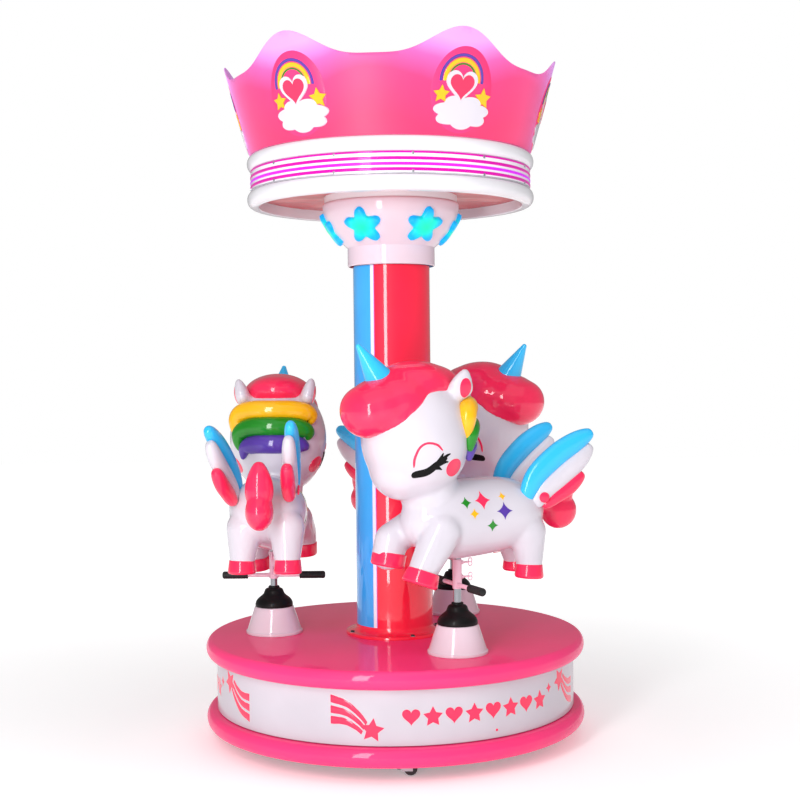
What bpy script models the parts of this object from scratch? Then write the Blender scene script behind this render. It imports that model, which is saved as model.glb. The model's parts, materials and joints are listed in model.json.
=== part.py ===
"""A three-seat mini carousel kiddie ride, in metres, +Z up, origin on the floor under the middle of the base.

The deck, skirt, column, canopy and crown turn together on a fixed spindle. A friction wheel under the deck drives
them. Each seat is a unicorn on a lift shaft, and a crank whose roller runs on a fixed track raises and lowers it.
"""

import math

import bmesh
import bpy
from mathutils import Matrix, Vector

# Heights of the base
DECK_Z = 0.345
DECK_THICKNESS = 0.008
LOWER_RING_Z = (0.049, 0.109)
RIM_BOTTOM_Z = 0.286
GAP = 0.0003

# Radii of the base and the column
RIM_R = 0.65
RIM_NOSE = 0.022
SKIRT_R = 0.614
RING_INNER_R = 0.575
COLUMN_R = 0.132
COLUMN_FLANGE_R = 0.169
MAST_R = 0.045

# Heights above the deck and radii of the canopy
COLUMN_TOP = 1.2637
CAPITAL_COLLAR_R = 0.150
CAPITAL_LIP_R = 0.235
CANOPY_R = 0.492
CANOPY_NOSE = 0.020
LIGHT_BAND_R = 0.479
LOWER_CANOPY_RING = (1.466, 1.518)
UPPER_CANOPY_RING = (1.5878, 1.638)
CANOPY_PLATE = (1.503, 1.509)
STAR_COUNT = 6
STAR_HEIGHT = 1.388
STAR_R = 0.058
STAR_FIRST_DEG = -26.5
CROWN_BASE_R = 0.481
CROWN_TOP_R = 0.573
CROWN_WALL = 0.0045
CROWN_PEAKS = 6
CROWN_FIRST_PEAK_DEG = -33.75
CROWN_BASE, CROWN_VALLEY, CROWN_PEAK = 1.6383, 1.876, 1.963

# Seats: bearing angle from the front, in degrees, lift from mid-stroke at rest, and which side the crank pin is on
STATION_R = 0.42
STATIONS = {1: (30.0, 0.0037, -1), 2: (-90.0, -0.0150, 1), 3: (150.0, -0.0046, 1)}
# How each unicorn sits on its shaft, in degrees: its turn, its nose's dip and its foot bar's turn
SITTING = {1: (0.0, 0.0, -4.5), 2: (0.0, 6.3, 0.0), 3: (-4.0, -2.7, -4.0)}
BELLY_Z = 0.30
WING_HINGE = Vector((-0.19, 0, 0.455))
# The outer wing (1) and the inner one (-1): where its root moves to, its lean and its splay in degrees
WINGS = {1: ((-0.009, 0.092, 0.0), 4.0, 15.0), -1: ((-0.024, -0.092, 0.012), 2.6, 0.0)}
SHAFT_R = 0.0125
POD_R, POD_TOP_R, POD_HEIGHT = 0.0975, 0.067, 0.092
BOOT_R, BOOT_NECK_R, BOOT_HEIGHT = 0.065, 0.0195, 0.070
FOOT_BAR_Z, FOOT_BAR_HALF, FOOT_BAR_R = 0.2145, 0.176, 0.007
SLEEVE_R, SLEEVE_TOP = 0.0150, 0.297
GRIP_R, GRIP_LENGTH = 0.013, 0.089

# Lift mechanism, under the deck
TRACK_R, TRACK_HALF, TRACK_TOP = 0.36, 0.018, 0.100
ROLLER_R, ROLLER_HALF = 0.045, 0.015
CRANK_THROW, ROD_LENGTH = 0.025, 0.075
AXLE_Z = TRACK_TOP + ROLLER_R + GAP
CLEVIS_Z = AXLE_Z + ROD_LENGTH - DECK_Z
PIN_R = 0.005

# Turntable drive
ARM_Z = (0.2925, 0.3367)
FRICTION_R, FRICTION_Z = 0.25, 0.272
DRIVE_WHEEL_R = 0.050
DRIVE_Z = FRICTION_Z - GAP - DRIVE_WHEEL_R
DRIVE_DEG = 124.0

# Fixed frame and feet, on three arms
ARM_BEARINGS = (4.0, 124.0, 244.0)
CHASSIS_Z = (0.0545, 0.0945)
HUB_PLATE_Z = (0.0535, 0.0960)
CASTER_R, CASTER_WHEEL_R, CASTER_TRAIL = 0.54, 0.021, 0.020
CASTER_LIFT = 0.002
FOOT_R = 0.46

PINK = (1.0, 0.051, 0.156)
HOT_PINK = (1.0, 0.026, 0.091)
CROWN_PINK = (1.0, 0.127, 0.352)
BLUSH = (0.871, 0.679, 0.831)
WHITE = (0.85, 0.83, 0.87)
SKY = (0.102, 0.456, 1.0)
TEAL = (0.02, 0.65, 0.60)
BLACK = (0.012, 0.012, 0.013)
STEEL = (0.42, 0.43, 0.45)
BRIGHT = (0.75, 0.75, 0.78)


def cleared_scene():
    for obj in list(bpy.data.objects):
        bpy.data.objects.remove(obj)
    parts = bpy.data.collections.new("kiddie_ride")
    bpy.context.scene.collection.children.link(parts)
    return parts


PARTS = cleared_scene()


def paint(name, colour, roughness=0.25, metallic=0.0):
    made = bpy.data.materials.new(name)
    made.use_nodes = True
    shader = made.node_tree.nodes["Principled BSDF"]
    shader.inputs["Base Color"].default_value = (*colour, 1.0)
    shader.inputs["Roughness"].default_value = roughness
    shader.inputs["Metallic"].default_value = metallic
    return made


def finished(mesh, material):
    mesh.materials.clear()
    mesh.materials.append(material)
    mesh.shade_smooth()
    mesh.set_sharp_from_angle(angle=math.radians(35))
    return mesh


def place(name, mesh, parent=None, location=(0, 0, 0), turn_y=0.0):
    obj = bpy.data.objects.new(name, mesh)
    obj.parent = parent
    obj.location = location
    obj.rotation_euler = (0, turn_y, 0)
    PARTS.objects.link(obj)
    return obj


def empty(name, location, turn_z=0.0, parent=None):
    obj = place(name, None, parent, location)
    obj.rotation_euler = (0, 0, turn_z)
    obj.empty_display_size = 0.05
    return obj


def bearing_point(degrees, radius, z=0.0):
    """A point at a bearing from the front (-Y), positive towards +X."""
    turn = math.radians(degrees)
    return Vector((radius * math.sin(turn), -radius * math.cos(turn), z))


def bearing_frame(degrees, radius=0.0, z=0.0):
    """The matrix of a place on the carousel whose +Y points outwards, and +X clockwise seen from above."""
    turn = math.radians(degrees)
    return Matrix.Translation(bearing_point(degrees, radius, z)) @ Matrix.Rotation(turn + math.pi, 4, "Z")


# Meshes


def mesh_of(bm):
    mesh = bpy.data.meshes.new("shape")
    bm.to_mesh(mesh)
    bm.free()
    return mesh


def baked(mesh, *setups):
    """The mesh after modifiers: each setup is (modifier type, its settings)."""
    base = bpy.data.objects.new("base", mesh)
    PARTS.objects.link(base)
    tools = []
    for kind, settings in setups:
        modifier = base.modifiers.new(kind.lower(), kind)
        for key, value in settings.items():
            if isinstance(value, bpy.types.Mesh):
                value = bpy.data.objects.new("tool", value)
                PARTS.objects.link(value)
                tools.append(value)
            setattr(modifier, key, value)
    bpy.context.view_layer.update()
    graph = bpy.context.evaluated_depsgraph_get()
    result = bpy.data.meshes.new_from_object(base.evaluated_get(graph))
    for spent in (base, *tools):
        bpy.data.objects.remove(spent)
    return result


def fused(first, *others):
    return baked(first, *(("BOOLEAN", {"operation": "UNION", "object": other}) for other in others))


def cut(mesh, *tools):
    return baked(mesh, *(("BOOLEAN", {"operation": "DIFFERENCE", "object": tool}) for tool in tools))


def moved(mesh, matrix):
    copy = mesh.copy()
    copy.transform(matrix)
    return copy


def turned(profile, segments=32, closed=True):
    """A solid of revolution about Z from (radius, height) points that run down its outer side.

    A closed profile is a ring's section. An open one starts and ends on the axis."""
    bm = bmesh.new()
    verts = [bm.verts.new((radius, 0, z)) for radius, z in profile]
    pairs = list(zip(verts, verts[1:]))
    if closed:
        pairs.append((verts[-1], verts[0]))
    for pair in pairs:
        bm.edges.new(pair)
    screw = {"axis": "Z", "steps": segments, "render_steps": segments, "use_merge_vertices": True}
    screw["merge_threshold"] = 0.00005
    return baked(mesh_of(bm), ("SCREW", screw))


def box(size, centre=(0, 0, 0)):
    bm = bmesh.new()
    bmesh.ops.create_cube(bm, size=1.0, matrix=Matrix.Translation(centre) @ Matrix.Diagonal((*size, 1)))
    return mesh_of(bm)


def cylinder(radius, start, end, segments=16, end_radius=None):
    start, end = Vector(start), Vector(end)
    along = end - start
    place_it = Matrix.Translation((start + end) / 2) @ along.to_track_quat("Z", "Y").to_matrix().to_4x4()
    bm = bmesh.new()
    top = radius if end_radius is None else end_radius
    bmesh.ops.create_cone(
        bm, cap_ends=True, segments=segments, radius1=radius, radius2=top, depth=along.length, matrix=place_it
    )
    return mesh_of(bm)


def ellipsoid(centre, radii, tilt=0.0):
    """A ball stretched to radii, its nose dipped by tilt degrees about Y."""
    shape = Matrix.Rotation(math.radians(tilt), 4, "Y") @ Matrix.Diagonal((*radii, 1))
    bm = bmesh.new()
    bmesh.ops.create_uvsphere(
        bm, u_segments=24, v_segments=14, radius=1.0, matrix=Matrix.Translation(centre) @ shape
    )
    return mesh_of(bm)


def limb(start, end, radius, end_radius):
    """A tapered limb with round ends, as three overlapping shapes."""
    return [
        cylinder(radius, start, end, 20, end_radius),
        ellipsoid(start, (radius,) * 3),
        ellipsoid(end, (end_radius,) * 3),
    ]


def melted(shapes, voxel, triangles):
    """Overlapping closed shapes melted into one moulded body of about this many triangles."""
    bm = bmesh.new()
    for shape in shapes:
        bm.from_mesh(shape)
    body = baked(mesh_of(bm), ("REMESH", {"mode": "VOXEL", "voxel_size": voxel}))
    body = baked(body, ("SMOOTH", {"factor": 0.5, "iterations": 3}), ("TRIANGULATE", {}))
    return baked(body, ("DECIMATE", {"ratio": triangles / len(body.polygons)}))


def nose(radius, z_low, z_high, depth, steps):
    """A half-round edge, from its top down to its bottom."""
    middle, half = (z_low + z_high) / 2, (z_high - z_low) / 2
    angles = [math.pi * (0.5 - step / steps) for step in range(steps + 1)]
    return [(radius - depth + depth * math.cos(a), middle + half * math.sin(a)) for a in angles]


# Fixed base


def lower_ring():
    low, high = LOWER_RING_Z
    wall = 0.005
    outer = nose(RIM_R, low, high, RIM_NOSE, 4)
    inner = nose(RIM_R - wall, low + wall, high - wall, RIM_NOSE, 2)[::-1]
    profile = [(RING_INNER_R, high), *outer, (RING_INNER_R, low), (RING_INNER_R, low + wall), *inner]
    return turned([*profile, (RING_INNER_R, high - wall)])


def chassis_frame():
    low, high = CHASSIS_Z
    plate_low, plate_high = HUB_PLATE_Z
    pieces = [turned([(0, plate_high), (0.09, plate_high), (0.09, plate_low), (0, plate_low)], 16, closed=False)]
    for bearing in ARM_BEARINGS:
        arm = box((0.05, 0.58, high - low), (0, 0.320, (low + high) / 2))
        arm = cut(arm, cylinder(0.0065, (0, FOOT_R, 0), (0, FOOT_R, 0.2)))
        pieces.append(moved(arm, bearing_frame(bearing)))
    for bearing in ARM_BEARINGS[1:]:
        pad = box((0.12, 0.14, 0.015), (0, 0.19, TRACK_TOP - 0.0075))
        pieces.append(moved(pad, bearing_frame(bearing)))
    track = [
        (TRACK_R + TRACK_HALF, TRACK_TOP),
        (TRACK_R + TRACK_HALF, 0.082),
        (TRACK_R - TRACK_HALF, 0.082),
        (TRACK_R - TRACK_HALF, TRACK_TOP),
    ]
    pieces.append(turned(track, 24))
    return fused(*pieces)


def center_spindle():
    base = HUB_PLATE_Z[1] + GAP
    top = ARM_Z[1] - DECK_THICKNESS - GAP
    profile = [(0, top), (0.030, top), (0.034, top - 0.004), (0.034, 0.125), (0.050, 0.110), (0.070, 0.108)]
    return turned([*profile, (0.070, base), (0, base)], 16, closed=False)


def center_foot():
    top = HUB_PLATE_Z[0] - GAP
    profile = [(0, top), (0.015, top), (0.015, 0.020), (0.036, 0.012), (0.040, 0.008), (0.040, 0), (0, 0)]
    return turned(profile, 16, closed=False)


def leveling_foot():
    profile = [(0, 0.088), (0.006, 0.088), (0.006, 0.018), (0.010, 0.016), (0.020, 0.008), (0.022, 0), (0, 0)]
    return turned(profile, 10, closed=False)


def caster_fork():
    top = CHASSIS_Z[0] - GAP
    axle_z = CASTER_LIFT + CASTER_WHEEL_R
    pieces = [cylinder(0.022, (0, 0, top - 0.004), (0, 0, top), 12)]
    for side in (-1, 1):
        cheek = box((0.034, 0.003, top - 0.002 - axle_z + 0.006), (0.009, side * 0.0105, (top + axle_z - 0.008) / 2))
        pieces.append(cheek)
    pieces.append(cylinder(0.003, (CASTER_TRAIL, -0.0135, axle_z), (CASTER_TRAIL, 0.0135, axle_z), 8))
    return fused(*pieces)


def caster_wheel():
    rim, half, bore = CASTER_WHEEL_R, 0.0082, 0.0033
    profile = [(bore, half), (rim - 0.003, half), (rim, half - 0.003), (rim, 0.003 - half), (rim - 0.003, -half)]
    return moved(turned([*profile, (bore, -half)], 16), Matrix.Rotation(math.pi / 2, 4, "X"))


def gearmotor():
    low = TRACK_TOP + GAP
    pedestal = box((0.08, 0.09, 0.080), (0, 0.185, low + 0.040))
    gearbox = box((0.08, 0.072, 0.088), (0, 0.186, 0.218))
    output = cylinder(0.008, (0, 0.20, DRIVE_Z), (0, 0.268, DRIVE_Z), 16)
    motor = cylinder(0.038, (0.02, 0.186, DRIVE_Z), (0.165, 0.186, DRIVE_Z), 20)
    fan_cover = cylinder(0.040, (0.150, 0.186, DRIVE_Z), (0.172, 0.186, DRIVE_Z), 20)
    return fused(pedestal, gearbox, output, motor, fan_cover)


def control_box():
    body = box((0.11, 0.13, 0.066), (0, 0.19, TRACK_TOP + GAP + 0.033))
    return baked(body, ("BEVEL", {"width": 0.004, "segments": 2}))


def drive_wheel():
    rim, half, bore = DRIVE_WHEEL_R, 0.013, 0.0083
    profile = [(bore, half), (rim - 0.003, half), (rim, half - 0.003)]
    lower = [(radius, -z) for radius, z in reversed(profile)]
    return moved(turned([*profile, *lower], 20), Matrix.Rotation(-math.pi / 2, 4, "X"))


# Turntable


def turntable_frame():
    low, high = ARM_Z
    cap = high - DECK_THICKNESS
    hub = [(0, high), (0.09, high), (0.09, cap), (0.052, cap - 0.002), (0.052, 0.20), (0.0357, 0.20)]
    pieces = [turned([*hub, (0.0357, cap), (0, cap)], 12, closed=False)]
    half = 0.025
    friction = [(FRICTION_R + half, low + 0.002), (FRICTION_R + half, FRICTION_Z)]
    friction += [(FRICTION_R - half, FRICTION_Z), (FRICTION_R - half, low + 0.002)]
    pieces.append(turned(friction, 20))
    for bearing, _, _ in STATIONS.values():
        arm = box((0.04, 0.555, high - low), (0, 0.3225, (low + high) / 2))
        block_height = low - 0.125 + 0.005
        middle = 0.125 + block_height / 2
        outer = box((0.05, 0.010, block_height), (0, STATION_R - 0.036, middle))
        inner = box((0.05, 0.010, block_height), (0, STATION_R - 0.090, middle))
        guide = cylinder(0.019, (0, STATION_R, 0.262), (0, STATION_R, DECK_Z + 0.080), 12)
        station = fused(arm, outer, inner, guide)
        bore = cylinder(SHAFT_R + 0.0005, (0, STATION_R, 0.2), (0, STATION_R, 0.6), 12)
        axle = cylinder(0.0085, (0, 0.30, AXLE_Z), (0, 0.40, AXLE_Z), 10)
        pieces.append(moved(cut(station, bore, axle), bearing_frame(bearing)))
    return fused(*pieces)


def deck():
    low = DECK_Z - DECK_THICKNESS
    edge = nose(RIM_R, RIM_BOTTOM_Z, DECK_Z, RIM_NOSE, 4)
    lip = RIM_R - 0.044
    plate = turned([(0.10, DECK_Z), *edge, (lip, RIM_BOTTOM_Z), (lip, low), (0.10, low)])
    for bearing, _, _ in STATIONS.values():
        centre = bearing_point(bearing, STATION_R)
        plate = cut(plate, cylinder(0.030, centre, centre + Vector((0, 0, 1)), 16))
    return plate


def skirt():
    top, bottom, wall = RIM_BOTTOM_Z - GAP, LOWER_RING_Z[1] + 0.0025, 0.005
    return turned([(SKIRT_R, top), (SKIRT_R, bottom), (SKIRT_R - wall, bottom), (SKIRT_R - wall, top)])


def mast():
    base, top, bore = ARM_Z[1] + GAP, DECK_Z + 1.60, MAST_R - 0.006
    profile = [(MAST_R, top), (MAST_R, base + 0.010), (0.085, base + 0.010), (0.085, base), (bore, base)]
    return turned([*profile, (bore, top)], 16)


def column_shell():
    base, top, wall = DECK_Z + GAP, DECK_Z + COLUMN_TOP, 0.004
    flange = [(COLUMN_R, DECK_Z + 0.026), (COLUMN_R + 0.005, DECK_Z + 0.016), (COLUMN_R + 0.016, DECK_Z + 0.0125)]
    edge = [(COLUMN_FLANGE_R - 0.004, DECK_Z + 0.0115), (COLUMN_FLANGE_R, DECK_Z + 0.007), (COLUMN_FLANGE_R, base)]
    return turned([(COLUMN_R, top), *flange, *edge, (COLUMN_R - wall, base), (COLUMN_R - wall, top)], 24)


def capital_profile():
    """The bowl's outer wall, from its lip down to the collar: (radius, height above the deck)."""
    low, high = 1.328, 1.470
    wall = []
    for step in range(6):
        share = 1 - step / 5
        swell = math.sin(share * math.pi / 2) ** 1.15
        wall.append((CAPITAL_COLLAR_R + (CAPITAL_LIP_R - CAPITAL_COLLAR_R) * swell, low + (high - low) * share))
    return wall


def capital_radius(height):
    wall = capital_profile()
    for (r1, z1), (r2, z2) in zip(wall, wall[1:]):
        if z2 <= height <= z1:
            return r2 + (r1 - r2) * (height - z2) / (z1 - z2)
    return CAPITAL_COLLAR_R


def star(radius, depth):
    """A puffy star with five round lobes, extruded along +Y from 0 to depth."""
    bm = bmesh.new()
    ring = []
    for step in range(15):
        turn = 2 * math.pi * step / 15
        reach = radius * (0.76 + 0.24 * math.cos(5 * turn))
        ring.append(bm.verts.new((reach * math.sin(turn), 0, reach * math.cos(turn))))
    face = bm.faces.new(ring)
    grown = bmesh.ops.extrude_face_region(bm, geom=[face])
    bmesh.ops.translate(
        bm, verts=[v for v in grown["geom"] if isinstance(v, bmesh.types.BMVert)], vec=(0, depth, 0)
    )
    bmesh.ops.recalc_face_normals(bm, faces=bm.faces)
    return mesh_of(bm)


def star_places():
    """The frame of each star light: origin on the bowl's wall, +Y along the wall's outward normal."""
    rise = 0.02
    grow = capital_radius(STAR_HEIGHT + rise) - capital_radius(STAR_HEIGHT - rise)
    tilt = -math.atan2(grow, 2 * rise)
    for index in range(STAR_COUNT):
        bearing = STAR_FIRST_DEG + index * 360 / STAR_COUNT
        frame = bearing_frame(bearing, capital_radius(STAR_HEIGHT), DECK_Z + STAR_HEIGHT)
        yield frame @ Matrix.Rotation(tilt, 4, "X")


def capital():
    wall = 0.004
    outer = [(radius, DECK_Z + z) for radius, z in capital_profile()]
    low = DECK_Z + COLUMN_TOP + GAP
    lip = [(CAPITAL_LIP_R - 0.008, DECK_Z + 1.4805), (CAPITAL_LIP_R - 0.002, DECK_Z + 1.477)]
    inner = [(radius - wall, z) for radius, z in reversed(outer[::2])]
    profile = [*lip, *outer, (CAPITAL_COLLAR_R, low), (CAPITAL_COLLAR_R - wall, low), *inner]
    shell = turned([*profile, (CAPITAL_LIP_R - 0.012, DECK_Z + 1.478)], 24)
    for frame in star_places():
        shell = cut(shell, moved(star(STAR_R + 0.0005, 0.06), frame @ Matrix.Translation((0, -0.03, 0))))
    return shell


def star_lens():
    """The lamp ring inside the bowl, whose six star-shaped lenses stand out through the wall."""
    gap, wall = 0.0115, 0.003
    heights = (1.433, 1.347)
    outer = [(capital_radius(z) - gap, DECK_Z + z) for z in heights]
    inner = [(radius - wall, z) for radius, z in reversed(outer)]
    ring = turned([*outer, *inner], 18)
    lenses = [moved(star(STAR_R, 0.026), frame @ Matrix.Translation((0, -0.017, 0))) for frame in star_places()]
    return fused(ring, *lenses)


def canopy_base():
    low, high = (DECK_Z + z for z in LOWER_CANOPY_RING)
    under, over = (DECK_Z + z for z in CANOPY_PLATE)
    edge = nose(CANOPY_R, low, high, CANOPY_NOSE, 4)
    inside, collar, hole = CANOPY_R - 0.040, 0.230, MAST_R + 0.0005
    collar_low = DECK_Z + 1.481
    profile = [(hole, over), (inside, over), (inside, high), *edge, (inside, low), (inside, under), (collar, under)]
    profile += [(collar, collar_low), (collar - 0.005, collar_low), (collar - 0.005, under), (hole, under)]
    return turned(profile)


def light_band():
    low, high, wall = DECK_Z + LOWER_CANOPY_RING[1] + GAP, DECK_Z + UPPER_CANOPY_RING[0] - GAP, 0.0045
    return turned([(LIGHT_BAND_R, high), (LIGHT_BAND_R, low), (LIGHT_BAND_R - wall, low), (LIGHT_BAND_R - wall, high)])


def canopy_ring():
    low, high = (DECK_Z + z for z in UPPER_CANOPY_RING)
    inside = CANOPY_R - 0.040
    edge = nose(CANOPY_R, low, high, CANOPY_NOSE, 4)
    return turned([(0, high), *edge, (inside, low), (inside, high - 0.007), (0, high - 0.007)], closed=False)


def crown_height(bearing):
    """The crown's rim: six rounded peaks with wide hollows between them."""
    wave = (1 + math.cos(math.radians(CROWN_PEAKS * (bearing - CROWN_FIRST_PEAK_DEG)))) / 2
    return CROWN_VALLEY + (CROWN_PEAK - CROWN_VALLEY) * wave**1.8


def crown():
    """A flared open wall, drawn up at each bearing to the rim's height, then thickened inwards."""
    steps = 60
    bm = bmesh.new()
    bmesh.ops.create_cone(bm, cap_ends=False, segments=steps, radius1=CROWN_BASE_R, radius2=CROWN_TOP_R, depth=1)
    for vert in bm.verts:
        bearing = math.degrees(math.atan2(vert.co.x, -vert.co.y))
        height = crown_height(bearing) if vert.co.z > 0 else CROWN_BASE
        flare = (height - CROWN_BASE) / (CROWN_PEAK - CROWN_BASE)
        radius = CROWN_BASE_R + (CROWN_TOP_R - CROWN_BASE_R) * flare
        vert.co = bearing_point(bearing, radius, DECK_Z + height)
    wall = {"thickness": CROWN_WALL, "offset": -1.0}
    return baked(mesh_of(bm), ("SOLIDIFY", wall))


# Seats


def pod():
    wall = 0.004
    outer = [(0.026, POD_HEIGHT), (POD_TOP_R - 0.006, POD_HEIGHT), (POD_TOP_R, POD_HEIGHT - 0.006)]
    foot = [(POD_R - 0.005, 0.012), (POD_R, 0.008), (POD_R, GAP), (POD_R - 0.009, GAP)]
    inner = [(POD_TOP_R - wall, POD_HEIGHT - 0.008), (0.026, POD_HEIGHT - wall)]
    return turned([*outer, *foot, *inner], 16)


def gaiter():
    """A bell-shaped rubber boot, its foot on the pod and its neck round the shaft."""
    steps, wall, bore = 4, 0.0025, SHAFT_R + 0.0005
    outer = []
    for step in range(steps + 1):
        share = step / steps
        outer.append((BOOT_NECK_R + (BOOT_R - BOOT_NECK_R) * share**1.7, POD_HEIGHT + BOOT_HEIGHT * (1 - share)))
    outer[-1] = (BOOT_R, POD_HEIGHT + 0.006)
    foot = [(BOOT_R, POD_HEIGHT + GAP), (BOOT_R - 0.004, POD_HEIGHT + GAP)]
    inner = [(radius - wall, z - 0.004) for radius, z in reversed(outer[1:-1:2])]
    return turned([*outer, *foot, *inner, (bore, outer[0][1] - 0.012), (bore, outer[0][1])], 14)


def lift_shaft():
    rod = cylinder(SHAFT_R, (0, 0, CLEVIS_Z - 0.012), (0, 0, 0.355), 16)
    flat = box((0.04, 0.02, 0.05), (0, -0.012, CLEVIS_Z - 0.010))
    rod = cut(rod, flat)
    return fused(rod, cylinder(PIN_R, (0, 0.002, CLEVIS_Z), (0, -0.0115, CLEVIS_Z), 8))


def foot_bar():
    sleeve = cylinder(SLEEVE_R, (0, 0, FOOT_BAR_Z - 0.012), (0, 0, SLEEVE_TOP), 16)
    pieces = [cylinder(FOOT_BAR_R, (0, -FOOT_BAR_HALF, FOOT_BAR_Z), (0, FOOT_BAR_HALF, FOOT_BAR_Z), 10)]
    for height in (0.2385, 0.285):
        pieces.append(cylinder(0.003, (-0.013, 0, height), (-0.047, 0, height), 6))
        pieces.append(box((0.012, 0.004, 0.030), (-0.050, 0, height)))
    bore = cylinder(SHAFT_R + GAP, (0, 0, 0.1), (0, 0, 0.4), 16)
    return cut(fused(sleeve, *pieces), bore)


def foot_grip():
    """A rubber grip along +Y, at the foot bar's height, closed at its outer end."""
    bore = FOOT_BAR_R + 3 * GAP
    tip = FOOT_BAR_HALF + 0.0035
    inside = [(0, FOOT_BAR_HALF + GAP), (bore, FOOT_BAR_HALF + GAP), (bore, tip - GRIP_LENGTH)]
    outside = [(0.012, tip - GRIP_LENGTH), (GRIP_R, tip - GRIP_LENGTH + 0.003), (GRIP_R, tip - 0.004)]
    profile = [(0, tip), (GRIP_R - 0.003, tip), *reversed(outside), *reversed(inside)]
    along_bar = Matrix.Translation((0, 0, FOOT_BAR_Z)) @ Matrix.Rotation(-math.pi / 2, 4, "X")
    return moved(turned(profile, 8, closed=False), along_bar)


def crank():
    """Roller, axle, disc and stub pin, about the local Y axis, with the pin straight up."""
    axle = cylinder(0.008, (0, -0.098, 0), (0, -0.023, 0), 10)
    roller = cylinder(ROLLER_R, (0, -0.060 - ROLLER_HALF, 0), (0, -0.060 + ROLLER_HALF, 0), 20)
    disc = cylinder(0.035, (0, -0.027, 0), (0, -0.019, 0), 12)
    pin = cylinder(PIN_R, (0, -0.022, CRANK_THROW), (0, -0.0115, CRANK_THROW), 8)
    return fused(axle, roller, disc, pin)


def connecting_rod():
    """A flat link that hangs from its small end at the origin."""
    near, far = -0.0109, -0.0027
    ends = [Vector((0, 0, 0)), Vector((0, 0, -ROD_LENGTH))]
    eyes = [cylinder(0.011, end + Vector((0, near, 0)), end + Vector((0, far, 0)), 12) for end in ends]
    web = box((0.012, far - near - 0.001, ROD_LENGTH), (0, (near + far) / 2, -ROD_LENGTH / 2))
    holes = [cylinder(PIN_R + 2 * GAP, end - Vector((0, 0.05, 0)), end + Vector((0, 0.05, 0)), 12) for end in ends]
    return cut(fused(web, *eyes), *holes)


# Unicorn, facing +X, its belly over the shaft


def hoof(centre, tilt=0.0, width=0.052):
    """A hoof as a short tapered cup."""
    lean = Matrix.Translation(centre) @ Matrix.Rotation(math.radians(tilt), 4, "Y")
    return moved(cylinder(width, (0, 0, -0.021), (0, 0, 0.021), 20, width * 0.9), lean)


def unicorn_shapes():
    shapes = [
        ellipsoid((-0.203, 0, 0.440), (0.104, 0.138, 0.118)),
        ellipsoid((-0.070, 0, 0.430), (0.170, 0.118, 0.126)),
        ellipsoid((0.072, 0, 0.426), (0.118, 0.120, 0.129)),
        ellipsoid((0.095, 0, 0.520), (0.095, 0.090, 0.080)),
        ellipsoid((0.149, 0, 0.697), (0.172, 0.174, 0.202)),
        ellipsoid((0.202, 0, 0.606), (0.096, 0.121, 0.110)),
    ]
    shapes.append(ellipsoid((0.148, 0, 0.838), (0.148, 0.134, 0.097), -6))
    shapes.append(ellipsoid((0.314, 0, 0.773), (0.084, 0.106, 0.084), 20))
    shapes.append(cylinder(0.047, (0.272, 0, 0.872), (0.3455, 0, 0.977), 16, 0.010))
    for height, half, reach in ((0.788, 0.152, 0.090), (0.728, 0.146, 0.096), (0.668, 0.124, 0.092)):
        shapes.append(ellipsoid((0.058, 0, height), (reach, half, 0.034)))
    for side in (-1, 1):
        shapes += limb((0.052, side * 0.118, 0.838), (0.036, side * 0.122, 0.882), 0.040, 0.018)
    shapes.append(ellipsoid((-0.398, 0, 0.430), (0.066, 0.048, 0.062)))
    shapes.append(ellipsoid((-0.408, 0, 0.520), (0.044, 0.043, 0.080)))
    shapes += limb((-0.290, 0, 0.470), (-0.380, 0, 0.440), 0.030, 0.040)
    shapes += limb((-0.224, 0.072, 0.375), (-0.226, 0.078, 0.270), 0.062, 0.048)
    shapes += limb((-0.255, -0.072, 0.375), (-0.280, -0.078, 0.270), 0.066, 0.046)
    shapes += limb((0.095, 0.070, 0.400), (0.160, 0.080, 0.290), 0.062, 0.044)
    shapes += limb((0.110, -0.070, 0.410), (0.188, -0.080, 0.362), 0.056, 0.050)
    shapes += limb((0.188, -0.080, 0.362), (0.205, -0.080, 0.325), 0.050, 0.050)
    shapes.append(hoof((-0.2245, 0.080, 0.253)))
    shapes.append(hoof((-0.2820, -0.080, 0.253)))
    shapes.append(hoof((0.1770, 0.080, 0.2575), -21, 0.053))
    shapes.append(hoof((0.2090, -0.080, 0.3010), -12, 0.055))
    return shapes


def seated(mesh, turn, dip):
    """The moulding turned about its shaft, its nose dipped about the point where the shaft enters the belly."""
    belly = Vector((0, 0, BELLY_Z))
    tilt = Matrix.Rotation(math.radians(turn), 4, "Z") @ Matrix.Rotation(math.radians(dip), 4, "Y")
    return moved(mesh, Matrix.Translation(belly) @ tilt @ Matrix.Translation(-belly))


def bored(body):
    """The moulding with its socket for the lift shaft and clearance for the foot bar's sleeve."""
    socket = cylinder(SHAFT_R + GAP, (0, 0, 0.1), (0, 0, 0.356), 16)
    sleeve_clearance = cylinder(SLEEVE_R + 0.001, (0, 0, 0.1), (0, 0, SLEEVE_TOP + 0.0005), 16)
    return cut(body, socket, sleeve_clearance)


def feather(root, tip, half_width):
    """A flat rounded feather between two points of the wing's plane, given as (x, z)."""
    root, tip = Vector((root[0], 0, root[1])), Vector((tip[0], 0, tip[1]))
    along = root - tip
    tilt = -math.degrees(math.atan2(along.z, along.x))
    return ellipsoid((root + tip) / 2, (along.length / 2 + 0.006, 0.020, half_width), tilt)


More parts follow.
